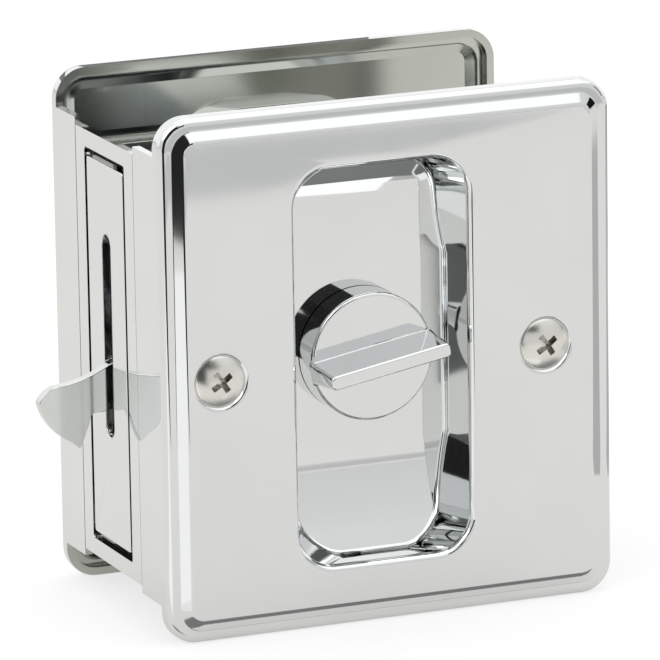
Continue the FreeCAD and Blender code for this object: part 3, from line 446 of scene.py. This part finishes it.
@dataclass
class FacePlate:
    """A pressed face plate: turned rim, raised field, scooped finger cup and edge flange."""

    side: Side
    node: str
    body: str
    frame: DoorFrame = field(default_factory=DoorFrame)
    width: float = 63.5 * MM
    height: float = 69.85 * MM
    offset: float = 1.1 * MM
    corner: float = 4.2 * MM
    wall: float = 1.05 * MM
    rim_depth: float = 2.4 * MM
    rim_round: float = 1.1 * MM
    border: float = 1.7 * MM
    slope_run: float = 1.45 * MM
    slope_rise: float = 0.8 * MM
    step_corner: float = 3.2 * MM
    foot_round: float = 0.5 * MM
    crown_round: float = 1.1 * MM
    cup_width: float = 24.4 * MM
    cup_height: float = 53.0 * MM
    cup_corner: float = 5.0 * MM
    cup_lip: float = 1.0 * MM
    cup_foot: float = 0.6 * MM
    cup_taper: float = 3.2 * MM
    cup_flat: float = 12.0 * MM
    scoop_radius: float = 28.28 * MM
    flange_reach: float = 7.0 * MM
    flange_half: float = 29.9 * MM
    hub_hole: float = 4.48 * MM
    screw_reach: float = 23.0 * MM

    def build(self) -> bpy.types.Object:
        """Model the plate and dress it.

        Returns:
            The finished plate.
        """
        plate = self.pan()
        plate.join(self.step(), self.cup())
        self.close_seams(plate)
        self.flange(plate)
        plate.modify("SOLIDIFY", thickness=self.wall, offset=-1.0, use_even_offset=True)
        plate.ease(0.12 * MM, 2, 60.0)
        self.bore(plate)
        self.mark_inside(plate)
        plate.shade(32.0)
        self.side.stand(plate)
        return plate.finish(Finish.POLISHED_CHROME, self.body, self.node)

    def mark_inside(self, plate: Bench) -> None:
        """Mark the faces of the pressing's inside, which stays unbuffed but for the drawn cup.

        Args:
            plate: The finished plate on the bench.
        """
        mesh = plate.piece.data
        marks = mesh.attributes.new("inside", "FLOAT", "FACE")
        behind = self.frame.door / 2 + self.rim_depth + self.slope_rise - self.wall - 0.25 * MM
        for face, mark in zip(mesh.polygons, marks.data):
            in_cup = (face.center.z < behind and abs(face.center.x) < self.cup_width / 2 + 3 * MM
                      and abs(face.center.y) < self.cup_height / 2 + 3 * MM)
            outwards = Vector(face.normal.xy).dot(Vector(face.center.xy)) > 0
            inwards = abs(face.normal.z) < 0.35 and not outwards
            mark.value = float(not in_cup and (face.normal.z < -0.35 or inwards))

    def centre(self, height: float) -> tuple[float, float, float]:
        """Return the plate's centre on the bench at a height."""
        return self.side.value * self.offset, 0.0, height

    def pan(self) -> Bench:
        """Raise the turned rim from a sheet, and open it in the middle."""
        pan = Bench.rounded_sheet(f"{self.node}_pressing", self.centre(self.frame.door / 2),
                                  self.width, self.height, self.corner)
        pan.edit()
        pan.pick("FACE", lambda face: True)
        pan.raise_faces(self.rim_depth - self.rim_round)
        pan.inset(arc(self.rim_round, 90.0, 0.0, 8, (0.0, 0.0)))
        bpy.ops.mesh.delete(type="ONLY_FACE")
        low = self.frame.door / 2
        pan.pick("FACE", lambda face: all(abs(vertex.co.z - low) < 1e-6 for vertex in face.verts))
        bpy.ops.mesh.delete(type="ONLY_FACE")
        pan.done()
        return pan

    def step(self) -> Bench:
        """Raise the step between the border and the field."""
        slope = math.degrees(math.atan2(self.slope_rise, self.slope_run))
        lead = math.tan(math.radians(slope / 2))
        inset = self.border - self.foot_round * lead
        sheet = Bench.rounded_sheet("step", self.centre(self.frame.door / 2 + self.rim_depth),
                                    self.width - 2 * inset, self.height - 2 * inset, self.step_corner)
        foot = arc(self.foot_round, 0.0, slope, 4, (0.0, 0.0), hollow=True)
        crown_start = (self.border + self.slope_run - inset - self.crown_round * lead * math.cos(math.radians(slope)),
                       self.slope_rise - self.crown_round * lead * math.sin(math.radians(slope)))
        sheet.edit()
        sheet.pick("FACE", lambda face: True)
        sheet.inset(foot + arc(self.crown_round, slope, 0.0, 6, crown_start))
        bpy.ops.mesh.delete(type="ONLY_FACE")
        sheet.done()
        return sheet

    def scoop(self, up: float) -> float:
        """Return how far the cup's floor has risen at a distance from its middle."""
        run = max(abs(up) - self.cup_flat, 0.0)
        return self.scoop_radius - math.sqrt(self.scoop_radius ** 2 - run ** 2)

    def taper(self, up: float) -> float:
        """Return how far a side of the cup's floor has drawn in at a distance from its middle."""
        return self.cup_taper * max(abs(up) - self.cup_flat, 0.0) / (self.cup_height / 2 - self.cup_flat)

    def cup(self) -> Bench:
        """Sink the cup from a sheet: soft lip, wall, rounded foot, and a floor that scoops up at both ends."""
        top = self.frame.face
        cup = Bench.rounded_sheet("cup", (0.0, 0.0, top), self.cup_width + 2 * self.cup_lip,
                                  self.cup_height + 2 * self.cup_lip, self.cup_corner + self.cup_lip, 12)
        cup.edit()
        rows = [side * (self.cup_flat + step * 1.2 * MM) for side in (-1, 1) for step in range(11)]
        for row in rows:
            bpy.ops.mesh.select_all(action="SELECT")
            bpy.ops.mesh.bisect(plane_co=(0.0, row, top), plane_no=(0.0, 1.0, 0.0))
        cup.pick("FACE", lambda face: True)
        lip = arc(self.cup_lip, 0.0, -90.0, 8, (0.0, 0.0))
        cup.inset(lip)
        wall = top - self.frame.floor - self.cup_lip - self.cup_foot
        cup.raise_faces(-wall)
        cup.inset(arc(self.cup_foot, -90.0, 0.0, 6, (0.0, 0.0), hollow=True))
        cage = bmesh.from_edit_mesh(cup.piece.data)
        brink = top - self.cup_lip
        for vertex in cage.verts:
            if vertex.co.z < brink - 0.1 * MM:
                share = (brink - vertex.co.z) / (brink - self.frame.floor)
                vertex.co.x -= math.copysign(share * self.taper(vertex.co.y), vertex.co.x)
                vertex.co.z += self.scoop(vertex.co.y)
        bmesh.update_edit_mesh(cup.piece.data)
        cup.done()
        return cup

    def close_seams(self, plate: Bench) -> None:
        """Bridge the rim to the step, and the field to the cup's lip."""
        plate.edit()
        for height in (self.frame.door / 2 + self.rim_depth, self.frame.face):
            plate.pick("EDGE", lambda edge: edge.is_boundary and all(
                abs(vertex.co.z - height) < 1e-6 for vertex in edge.verts))
            bpy.ops.mesh.bridge_edge_loops()
        bpy.ops.mesh.select_all(action="SELECT")
        bpy.ops.mesh.remove_doubles(threshold=0.001 * MM)
        bpy.ops.mesh.normals_make_consistent(inside=False)
        plate.done()

    def flange(self, plate: Bench) -> None:
        """Fold the edge flange in from the rim at the door's edge."""
        hand = self.side.value
        edge_x = hand * (self.offset - self.width / 2)
        low = self.frame.door / 2
        plate.edit()
        for cut in (-self.flange_half, self.flange_half):
            plate.pick("FACE", lambda face: all(abs(vertex.co.x - edge_x) < 1e-6 for vertex in face.verts))
            bpy.ops.mesh.bisect(plane_co=(0.0, cut, 0.0), plane_no=(0.0, 1.0, 0.0))
        plate.pick("EDGE", lambda edge: edge.is_boundary and all(
            abs(vertex.co.x - edge_x) < 1e-6 and abs(vertex.co.z - low) < 1e-6
            and abs(vertex.co.y) < self.flange_half + 1e-6 for vertex in edge.verts))
        bpy.ops.mesh.extrude_edges_move(TRANSFORM_OT_translate={"value": (0.0, 0.0, -self.flange_reach)})
        bpy.ops.mesh.select_all(action="SELECT")
        bpy.ops.mesh.normals_make_consistent(inside=False)
        plate.done()
        faces = plate.piece.data.polygons
        tallest = max(faces, key=lambda face: face.center.z)
        if tallest.normal.z < 0:
            plate.edit()
            bpy.ops.mesh.select_all(action="SELECT")
            bpy.ops.mesh.flip_normals()
            plate.done()

    def bore(self, plate: Bench) -> None:
        """Bore the cup's floor for the turn's hub, and sink the front plate's screw seats."""
        hub = Bench.drum("hub_tool", self.hub_hole, self.frame.out(-4 * MM), self.frame.out(3 * MM))
        plate.combine(hub, "DIFFERENCE")
        if self.side is Side.BACK:
            return
        for reach in (-self.screw_reach, self.screw_reach):
            plate.combine(self.boss(reach), "UNION")
            plate.combine(self.seat(reach), "DIFFERENCE")

    def boss(self, reach: float) -> Bench:
        """Make the thick seat behind a screw."""
        boss = Bench.drum("boss", 4.6 * MM, self.frame.face - 2.5 * MM, self.frame.face - 0.6 * MM, 64)
        boss.piece.location.x = reach
        bpy.ops.object.transform_apply(location=True, rotation=True, scale=True)
        return boss

    def seat(self, reach: float) -> Bench:
        """Make the tool that sinks a soft dimple, the countersink and the hole."""
        seat = Bench.drum("seat_tool", 1.85 * MM, self.frame.face - 6 * MM, self.frame.face - 1.95 * MM, 64)
        seat.edit()
        seat.pick("FACE", lambda face: face.normal.z > 0.9)
        for spread, height in ((1.65, 1.68), (0.12, 0.14), (0.16, 0.08), (0.16, 0.04), (0.1, 0.01), (0.0, 0.8)):
            bpy.ops.mesh.extrude_region_move(TRANSFORM_OT_translate={"value": (0.0, 0.0, height * MM)})
            self.spread(seat, spread * MM)
        seat.done()
        seat.piece.location.x = reach
        bpy.ops.object.transform_apply(location=True, rotation=True, scale=True)
        return seat

    @staticmethod
    def spread(tool: Bench, amount: float) -> None:
        """Widen the selected round face by an amount."""
        cage = bmesh.from_edit_mesh(tool.piece.data)
        radius = max(Vector(vertex.co.xy).length for vertex in cage.verts if vertex.select)
        factor = (radius + amount) / radius
        bpy.ops.transform.resize(value=(factor, factor, 1.0), center_override=(0.0, 0.0, 0.0))


@dataclass
class Turn:
    """A turn in a cup: disc, hub with the clip's groove, and the grip that the subclass adds."""

    side: Side
    node: str
    radius: float
    height: float
    frame: DoorFrame = field(default_factory=DoorFrame)
    lift: float = 0.2 * MM
    edge: float = 0.5 * MM
    hub_radius: float = 4.4 * MM
    hub_length: float = 3.6 * MM

    def disc(self) -> Bench:
        """Turn the disc and its hub."""
        disc = Bench.drum(f"{self.node}_casting", self.radius, self.frame.out(self.lift),
                          self.frame.out(self.lift + self.height), 160)
        disc.edit()
        high = self.frame.out(self.lift + self.height)
        disc.pick("EDGE", lambda edge: all(abs(vertex.co.z - high) < 1e-7 for vertex in edge.verts))
        bpy.ops.mesh.bevel(offset=self.edge, offset_type="OFFSET", segments=5, affect="EDGES")
        low = self.frame.out(self.lift)
        disc.pick("FACE", lambda face: face.normal.z < -0.9 and abs(face.calc_center_median().z - low) < 1e-6)
        bpy.ops.mesh.inset(thickness=self.radius - self.hub_radius, depth=0.0)
        disc.raise_faces(-(self.lift + 1.2 * MM + 0.8 * MM))
        for spread, height in ((-0.8, 0.0), (0.0, -0.7), (0.8, 0.0)):
            disc.raise_faces(height * MM)
            FacePlate.spread(disc, spread * MM)
        disc.raise_faces(-(self.hub_length - 2.7 * MM))
        disc.done()
        return disc

    def bore(self, turn: Bench) -> None:
        """Cut the flat spindle's hole into the hub."""
        low = self.frame.out(-self.hub_length)
        tool = Bench.block("spindle_tool", (0.0, 0.0, low + 1.0 * MM), (5.12 * MM, 2.32 * MM, 3.8 * MM))
        turn.combine(tool, "DIFFERENCE")

    def stand(self, turn: Bench) -> bpy.types.Object:
        """Turn it to the locked angle and put it in its cup."""
        turn.turn(about_z=self.side.value * self.frame.rest_angle)
        turn.shade(32.0)
        self.side.stand(turn)
        return turn.finish(Finish.POLISHED_CHROME, "turn", self.node)


@dataclass
class ThumbTurn(Turn):
    """The thumb turn: its disc carries a tapered bar."""

    side: Side = Side.FRONT
    node: str = "thumb_turn"
    radius: float = 8.6 * MM
    height: float = 4.3 * MM
    bar_length: float = 17.6 * MM
    bar_height: float = 6.5 * MM
    bar_foot: float = 3.0 * MM
    bar_tip: float = 1.9 * MM
    sink: float = 0.3 * MM
    root: tuple[tuple[float, float], ...] = ((0.35, 0.0), (0.2, 0.03), (0.09, 0.1), (0.03, 0.2), (0.0, 0.33))

    def build(self) -> bpy.types.Object:
        """Model the thumb turn and dress it."""
        turn = self.disc()
        turn.combine(self.bar(), "UNION")
        self.bore(turn)
        return self.stand(turn)

    def bar(self) -> Bench:
        """Taper a block into the bar and round its edges."""
        low = self.frame.out(self.lift + self.height) - self.sink
        high = self.frame.out(self.lift + self.height + self.bar_height)
        bar = Bench.block("bar", (0.0, 0.0, (low + high) / 2), (self.bar_length, self.bar_foot, high - low))
        bar.edit()
        bar.pick("FACE", lambda face: face.normal.z > 0.9)
        bpy.ops.transform.resize(value=(1.0 - 0.6 * MM / self.bar_length, self.bar_tip / self.bar_foot, 1.0),
                                 center_override=(0.0, 0.0, high))
        bar.pick("EDGE", lambda edge: abs((edge.verts[0].co - edge.verts[1].co).z) > 1 * MM)
        bpy.ops.mesh.bevel(offset=0.6 * MM, offset_type="OFFSET", segments=4, affect="EDGES")
        bar.pick("EDGE", lambda edge: all(abs(vertex.co.z - high) < 1e-7 for vertex in edge.verts))
        bpy.ops.mesh.bevel(offset=0.3 * MM, offset_type="OFFSET", segments=3, affect="EDGES")
        face = low + self.sink
        for rise, _ in self.root:
            bpy.ops.mesh.select_all(action="SELECT")
            bpy.ops.mesh.bisect(plane_co=(0.0, 0.0, face + rise * MM), plane_no=(0.0, 0.0, 1.0))
        cage = bmesh.from_edit_mesh(bar.piece.data)
        for vertex in cage.verts:
            flares = [flare for rise, flare in self.root if vertex.co.z < face + (rise + 0.005) * MM]
            if flares:
                vertex.co.y *= 1 + flares[-1] * MM / (self.bar_foot / 2)
        bmesh.update_edit_mesh(bar.piece.data)
        bar.done()
        return bar


@dataclass
class CoinTurn(Turn):
    """The emergency turn of the back side: its disc has a slot for a coin."""

    side: Side = Side.BACK
    node: str = "coin_turn"
    radius: float = 6.4 * MM
    height: float = 2.6 * MM

    def build(self) -> bpy.types.Object:
        """Model the emergency turn and dress it."""
        turn = self.disc()
        high = self.frame.out(self.lift + self.height)
        slot = Bench.block("slot_tool", (0.0, 0.0, high), (14.0 * MM, 1.8 * MM, 2.8 * MM))
        turn.combine(slot, "DIFFERENCE")
        self.bore(turn)
        return self.stand(turn)


@dataclass
class CoverScrew:
    """An oval-head screw: domed head, cross recess, cone and a real thread."""

    node: str
    reach: float
    frame: DoorFrame = field(default_factory=DoorFrame)
    head: float = 3.4 * MM
    dome: float = 0.85 * MM
    seat: float = 0.3 * MM
    core: float = 1.4 * MM
    crest: float = 1.75 * MM
    pitch: float = 0.8 * MM
    length: float = 13.0 * MM
    turn_angle: float = 35.0

    def build(self) -> bpy.types.Object:
        """Model the screw and dress it."""
        rim = self.frame.face - self.seat
        screw = Bench.drum(f"{self.node}_headed", self.head, rim - 0.12 * MM, rim, 72)
        screw.edit()
        screw.pick("FACE", lambda face: face.normal.z > 0.9)
        radius = (self.head ** 2 + self.dome ** 2) / (2 * self.dome)
        half = math.degrees(math.asin(self.head / radius))
        crown = [point for point in arc(radius, half, 0.0, 12, (0.0, 0.0)) if point[0] < self.head - 0.1 * MM]
        screw.inset(crown)
        screw.pick("FACE", lambda face: face.normal.z < -0.9)
        cone = self.head - self.core
        screw.raise_faces(-(cone - 0.12 * MM))
        FacePlate.spread(screw, -cone)
        screw.raise_faces(-(self.length - 0.6 * MM))
        screw.raise_faces(-0.6 * MM)
        FacePlate.spread(screw, -0.7 * MM)
        screw.done()
        for turn in (0.0, 90.0):
            arm = Bench.block("recess_tool", (0.0, 0.0, self.frame.face), (4.0 * MM, 0.9 * MM, 3.4 * MM))
            arm.edit()
            arm.pick("FACE", lambda face: face.normal.z < -0.9)
            bpy.ops.transform.resize(value=(0.45, 0.7, 1.0), center_override=(0.0, 0.0, self.frame.face - 1.7 * MM))
            arm.done()
            arm.turn(about_z=turn)
            screw.combine(arm, "DIFFERENCE")
        screw.ease(0.05 * MM, 2, 40.0)
        screw.join(self.thread(rim - cone))
        screw.turn(about_z=self.turn_angle)
        screw.shade(40.0)
        Side.FRONT.stand(screw)
        screw.piece.location.x = self.reach
        bpy.ops.object.transform_apply(location=True, rotation=True, scale=True)
        return screw.finish(Finish.NICKEL_SCREW, "case", self.node)

    def thread(self, top: float) -> Bench:
        """Wind the thread's ridge round the core."""
        turns = int((self.length - 1.4 * MM) / self.pitch)
        Bench.clear()
        bpy.ops.mesh.primitive_circle_add(vertices=3, radius=0.4 * MM, fill_type="NGON")
        ridge = Bench.added("thread")
        bottom = top - 0.5 * MM - turns * self.pitch
        corners = ((self.core - 0.05 * MM, -0.33 * MM), (self.crest, 0.0), (self.core - 0.05 * MM, 0.33 * MM))
        for vertex, (out, up) in zip(ridge.piece.data.vertices, corners):
            vertex.co = (out, 0.0, bottom + up)
        ridge.modify("SCREW", axis="Z", angle=2 * math.pi, screw_offset=self.pitch, iterations=turns,
                     steps=20, render_steps=20, use_normal_calculate=True)
        ridge.edit()
        bpy.ops.mesh.select_all(action="SELECT")
        bpy.ops.mesh.remove_doubles(threshold=0.002 * MM)
        bpy.ops.mesh.normals_make_consistent(inside=False)
        ridge.done()
        return ridge


@dataclass
class EasedPart:
    """A stamped or turned part that keeps its node's form and gets broken edges and smooth rounds."""

    node: str
    finish: Finish
    body: str
    ease: float = 0.1 * MM
    angle: float = 35.0

    def build(self, nodes: dict[str, bpy.types.Object]) -> bpy.types.Object:
        """Copy the node, ease its edges and dress it."""
        part = Bench.copy_of(nodes[self.node], f"{self.node}_eased")
        if self.ease > 0:
            part.ease(self.ease, 2, 42.0)
        part.shade(self.angle)
        return part.finish(self.finish, self.body, self.node)


class Lock:
    """The edge hardware, the case and its works."""

    PARTS: tuple[EasedPart, ...] = (
        EasedPart("edge_channel", Finish.POLISHED_CHROME, "case", 0.15 * MM),
        EasedPart("edge_pull", Finish.POLISHED_CHROME, "pull", 0.15 * MM),
        EasedPart("hook", Finish.PLATED_STEEL, "bolt", 0.16 * MM),
        EasedPart("drive_sector", Finish.PLATED_STEEL, "turn", 0.08 * MM),
        EasedPart("spindle", Finish.PLATED_STEEL, "turn", 0.12 * MM),
        EasedPart("case_front_plate", Finish.ZINC_STEEL, "case", 0.1 * MM),
        EasedPart("case_rear_plate", Finish.ZINC_STEEL, "case", 0.1 * MM),
        EasedPart("case_spacer_upper", Finish.ZINC_STEEL, "case", 0.08 * MM),
        EasedPart("case_spacer_lower", Finish.ZINC_STEEL, "case", 0.08 * MM),
        EasedPart("case_spacer_inner", Finish.ZINC_STEEL, "case", 0.08 * MM),
        EasedPart("standoff_left", Finish.ZINC_STEEL, "case", 0.15 * MM),
        EasedPart("standoff_right", Finish.ZINC_STEEL, "case", 0.15 * MM),
        EasedPart("rear_post_left", Finish.ZINC_STEEL, "case", 0.15 * MM),
        EasedPart("rear_post_right", Finish.ZINC_STEEL, "case", 0.15 * MM),
        EasedPart("hook_pivot_pin", Finish.ZINC_STEEL, "case", 0.08 * MM),
        EasedPart("edge_pull_pin", Finish.ZINC_STEEL, "case", 0.1 * MM),
        EasedPart("edge_pull_spring", Finish.SPRING_STEEL, "pull", 0.0),
        EasedPart("turn_clip_front", Finish.SPRING_STEEL, "turn", 0.06 * MM),
        EasedPart("turn_clip_rear", Finish.SPRING_STEEL, "turn", 0.06 * MM),
        EasedPart("spring_washer_front", Finish.SPRING_STEEL, "turn", 0.0),
        EasedPart("spring_washer_rear", Finish.SPRING_STEEL, "turn", 0.0),
    )

    def build(self, nodes: dict[str, bpy.types.Object]) -> None:
        """Build every part of the lock."""
        for part in self.PARTS:
            part.build(nodes)


@dataclass(frozen=True)
class Card:
    """A studio card that only the metal sees: its corners in millimetres and its brightness."""

    name: str
    corners: tuple[tuple[float, float, float], ...]
    level: float
    steep: bool = False

    def build(self) -> None:
        """Stand the card up. A steep one has a grid over it, so only steep rays see it."""
        mesh = bpy.data.meshes.new(self.name)
        mesh.from_pydata([tuple(MM * part for part in corner) for corner in self.corners], [],
                         [tuple(range(len(self.corners)))])
        card = bpy.data.objects.new(self.name, mesh)
        bpy.context.scene.collection.objects.link(card)
        material = bpy.data.materials.new(self.name)
        material.use_nodes = True
        tree = material.node_tree
        tree.nodes.clear()
        glow = add_node(tree, "ShaderNodeEmission", {"Color": (1.0, 1.0, 1.0, 1.0), "Strength": self.level})
        surface = glow.outputs["Emission"]
        if self.steep:
            way = add_node(tree, "ShaderNodeNewGeometry").outputs["Incoming"]
            parts = add_node(tree, "ShaderNodeSeparateXYZ", None, {0: way})
            grid = add_node(tree, "ShaderNodeMapRange", {"From Min": 0.58, "From Max": 0.66}, {"Value": parts.outputs["Z"]})
            clear = add_node(tree, "ShaderNodeBsdfTransparent")
            surface = add_node(tree, "ShaderNodeMixShader", None,
                               {0: grid.outputs["Result"], 1: clear.outputs["BSDF"], 2: surface}).outputs["Shader"]
        add_node(tree, "ShaderNodeOutputMaterial", links={"Surface": surface})
        mesh.materials.append(material)
        card.visible_camera = False
        card.visible_diffuse = False
        card.visible_shadow = False


@dataclass
class Studio:
    """The white table, the soft light and the camera."""

    floor: float = -34.925 * MM
    half: float = 3.0
    azimuth: float = -22.478
    elevation: float = 13.59
    roll: float = -0.949
    distance: float = 0.96509
    focal_pixels: float = 7261.18
    aim_pixels: tuple[float, float] = (331.37, 328.88)
    aim: tuple[float, float, float] = (1.1 * MM, 0.0, 0.0)

    def build(self) -> None:
        """Set up the studio."""
        self.table()
        self.world()
        self.lamps()
        for card in self.cards():
            card.build()
        self.camera()
        scene = bpy.context.scene
        scene.view_settings.view_transform = "Standard"

    def table(self) -> None:
        """Lay the white table, which the metal sees with the object's shadow near it."""
        Bench.clear()
        bpy.ops.mesh.primitive_plane_add(size=2 * self.half, location=(0.0, 0.0, self.floor))
        table = bpy.context.object
        table.name = "white_table"
        bpy.ops.object.transform_apply(location=True, rotation=True, scale=True)
        material = bpy.data.materials.new("white_table_paint")
        material.use_nodes = True
        tree = material.node_tree
        tree.nodes.clear()
        paths = add_node(tree, "ShaderNodeLightPath")
        place = add_node(tree, "ShaderNodeTexCoord").outputs["Object"]
        reach = add_node(tree, "ShaderNodeVectorMath", None, {0: place}, operation="LENGTH")
        far = add_node(tree, "ShaderNodeMapRange", {"From Min": 0.30, "From Max": 0.45, "To Min": 0.5},
                       {"Value": reach.outputs["Value"]})
        near_tone = add_node(tree, "ShaderNodeBsdfDiffuse", {"Color": linear("DBDAD7")})
        far_tone = add_node(tree, "ShaderNodeEmission", {"Color": linear("F0EEEB"), "Strength": 1.0})
        seen = add_node(tree, "ShaderNodeMixShader", None,
                        {0: far.outputs["Result"], 1: near_tone.outputs["BSDF"], 2: far_tone.outputs["Emission"]})
        paint = add_node(tree, "ShaderNodeBsdfDiffuse", {"Color": linear("F4F4F4")})
        glow = add_node(tree, "ShaderNodeEmission", {"Color": (1.0, 1.0, 1.0, 1.0), "Strength": 1.0})
        share = add_node(tree, "ShaderNodeMath", {1: 0.72}, {0: paths.outputs["Is Camera Ray"]},
                         operation="MULTIPLY")
        bright = add_node(tree, "ShaderNodeMixShader", None,
                          {0: share.outputs[0], 1: paint.outputs["BSDF"], 2: glow.outputs["Emission"]})
        mix = add_node(tree, "ShaderNodeMixShader", None,
                       {0: paths.outputs["Is Glossy Ray"], 1: bright.outputs["Shader"], 2: seen.outputs["Shader"]})
        add_node(tree, "ShaderNodeOutputMaterial", links={"Surface": mix.outputs["Shader"]})
        table.data.materials.append(material)

    def world(self) -> None:
        """Light the room: white behind the object, and soft bands by height for the rest."""
        world = bpy.data.worlds.new("studio_room")
        bpy.context.scene.world = world
        world.use_nodes = True
        tree = world.node_tree
        tree.nodes.clear()
        paths = add_node(tree, "ShaderNodeLightPath")
        direction = add_node(tree, "ShaderNodeTexCoord").outputs["Generated"]
        parts = add_node(tree, "ShaderNodeSeparateXYZ", None, {0: direction})
        front = self.bands(tree, parts.outputs["Z"], ((0.0, 0.76), (0.05, 0.77), (0.3, 0.8), (0.5, 0.84),
                                                      (0.58, 0.86), (0.63, 1.3), (0.85, 1.3), (1.0, 1.1)))
        back = self.bands(tree, parts.outputs["Z"], ((0.0, 0.7), (0.03, 0.8), (0.08, 1.1), (1.0, 1.1)))
        turn = add_node(tree, "ShaderNodeMapRange", {"From Min": -0.15, "From Max": 0.15}, {"Value": parts.outputs["Y"]},
                        interpolation_type="SMOOTHSTEP")
        level = add_node(tree, "ShaderNodeMix", None, {0: turn.outputs["Result"], 6: front, 7: back}, data_type="RGBA")
        room = add_node(tree, "ShaderNodeBackground", {"Strength": 1.0}, {"Color": level.outputs[2]})
        white = add_node(tree, "ShaderNodeBackground", {"Color": (1.0, 1.0, 1.0, 1.0), "Strength": 1.0})
        mix = add_node(tree, "ShaderNodeMixShader", None,
                       {0: paths.outputs["Is Camera Ray"], 1: room.outputs[0], 2: white.outputs[0]})
        add_node(tree, "ShaderNodeOutputWorld", links={"Surface": mix.outputs["Shader"]})

    @staticmethod
    def bands(tree: bpy.types.NodeTree, height: Any, stops: Sequence[tuple[float, float]]) -> Any:
        """Return grey levels by height over the horizon, from (height, level) stops."""
        bands = add_node(tree, "ShaderNodeValToRGB", None, {0: height})
        ramp = bands.color_ramp
        ramp.elements[0].position, ramp.elements[1].position = stops[0][0], stops[-1][0]
        for place, _ in stops[1:-1]:
            ramp.elements.new(place)
        for element, (_, level) in zip(ramp.elements, stops):
            element.color = (level, level, level, 1.0)
        return bands.outputs["Color"]

    def lamps(self) -> None:
        """Hang the soft boxes."""
        for name, place, size, power in (("soft_box_left", (-0.9, -0.6, 0.9), 0.9, 3.0),
                                         ("soft_box_top", (0.2, 0.1, 1.3), 0.8, 3.0)):
            Bench.clear()
            bpy.ops.object.light_add(type="AREA", location=place)
            lamp = bpy.context.object
            lamp.name = name
            lamp.data.size = size
            lamp.data.energy = power
            lamp.rotation_euler = (Vector((0.0, 0.0, 0.0)) - Vector(place)).to_track_quat("-Z", "Y").to_euler()

    @staticmethod
    def cards() -> tuple[Card, ...]:
        """List the cards round the object, with corners in millimetres."""
        low = -34.5
        return (
            # The dark stand at the front left, which the turned corners and the disc's side mirror.
            Card("dark_stand", ((-25, -114, 45), (-48, -127, 40), (-50, -129, low), (-300, -302, low),
                                (-300, -302, 170), (-25, -114, 130)), 0.02),
            Card("dark_board", ((-130, -400, 110), (85, -400, 110), (85, -400, 235), (-130, -400, 235)), 0.03),
            # Its shadow on the table, for the cup's right wall.
            Card("stand_shadow", ((-32, -119, low), (-106, -298, low), (-160, -298, low), (-50, -129, low)), 0.14),
            # A grey strip across the table, which dims the top of the fields, and one beyond it.
            Card("grey_strip", ((-150, -268, low), (92, -268, low), (160, -310, low), (-150, -312, low)), 0.64),
            Card("far_strip", ((-200, -325, low), (500, -325, low), (500, -800, low), (-200, -800, low)), 0.62),
            # A soft grey side towards the right, for the field's right slope.
            Card("grey_side", ((90, -60, low), (420, -60, low), (420, 60, low), (90, 60, low)), 0.52),
            # A dark pole at the far right, for the field's top right corner.
            Card("dark_pole", ((440, -235, 60), (480, -150, 60), (480, -150, 250), (440, -235, 250)), 0.01),
            # A dark floor at the far right, for the lips and edges that face right.
            Card("dark_corner", ((150, 110, low), (420, 80, low), (420, 420, low), (90, 260, low)), 0.03),
            # An olive strip behind the object, for the top of the back plate's rim.
            Card("olive_strip", ((-33, 24, 35.2), (17.2, 24, 35.2), (17.2, 24, 36.45), (-33, 24, 36.45)), 0.22),
            # A white sheet at the left, for the field's left slope and the rim beside it.
            Card("left_sheet", ((-34, -32, low), (-62, -30, low), (-175, -180, low), (-150, -194, low),
                                (-100, -155, low)), 1.12),
            # A white sheet close to the object's foot, for the patch of light at the cup's top.
            Card("white_sheet", ((-5, -52, low), (31, -57, low), (31, -44, low), (-5, -44, low)), 1.3, True),
            # Painted contact shadow on the table at the object's foot, seen only by steep rays: darkest right in front
            # of the base, half dark a little further out. It gives the cup's dark top end.
            Card("painted_foot_half_shadow", ((31, -49, low), (90, -49, low), (90, -44, low), (31, -44, low)), 0.55, True),
            Card("painted_foot_shadow", ((-40, -44, low), (90, -44, low), (90, -21, low), (-40, -21, low)), 0.22, True),
        )

    def camera(self) -> None:
        """Set the camera as it stood for the photograph."""
        turn, rise, roll = (math.radians(angle) for angle in (self.azimuth, self.elevation, self.roll))
        look = Vector((-math.sin(turn) * math.cos(rise), math.cos(turn) * math.cos(rise), -math.sin(rise)))
        level = Vector((math.cos(turn), math.sin(turn), 0.0))
        upright = level.cross(look)
        right = math.cos(roll) * level + math.sin(roll) * upright
        up = math.cos(roll) * upright - math.sin(roll) * level
        middle = FRAME_PIXELS / 2
        scale = self.distance / self.focal_pixels
        across = (self.aim_pixels[0] - middle) * scale
        down = (self.aim_pixels[1] - middle) * scale
        place = Vector(self.aim) - across * right + down * up - self.distance * look
        data = bpy.data.cameras.new("photograph_camera")
        data.sensor_width = 36.0
        data.sensor_fit = "HORIZONTAL"
        data.lens = 36.0 * self.focal_pixels / FRAME_PIXELS
        data.clip_start = 0.05
        data.clip_end = 20.0
        camera = bpy.data.objects.new("photograph_camera", data)
        bpy.context.scene.collection.objects.link(camera)
        turned = Matrix((right, up, -look)).transposed().to_4x4()
        turned.translation = place
        camera.matrix_world = turned
        bpy.context.scene.camera = camera


def main() -> None:
    """Load the frame, build every piece and the studio, and note the sizes."""
    logging.basicConfig(level=logging.INFO, format="%(name)s: %(message)s")
    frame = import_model()
    nodes = frame["nodes"]
    for plate in (FacePlate(Side.FRONT, "front_plate", "case"), FacePlate(Side.BACK, "back_plate", "case")):
        plate.build()
    ThumbTurn().build()
    CoinTurn().build()
    for screw in (CoverScrew("screw_left", -23.0 * MM), CoverScrew("screw_right", 23.0 * MM)):
        screw.build()
    Lock().build(nodes)
    Studio().build()


if __name__ == "__main__":
    main()
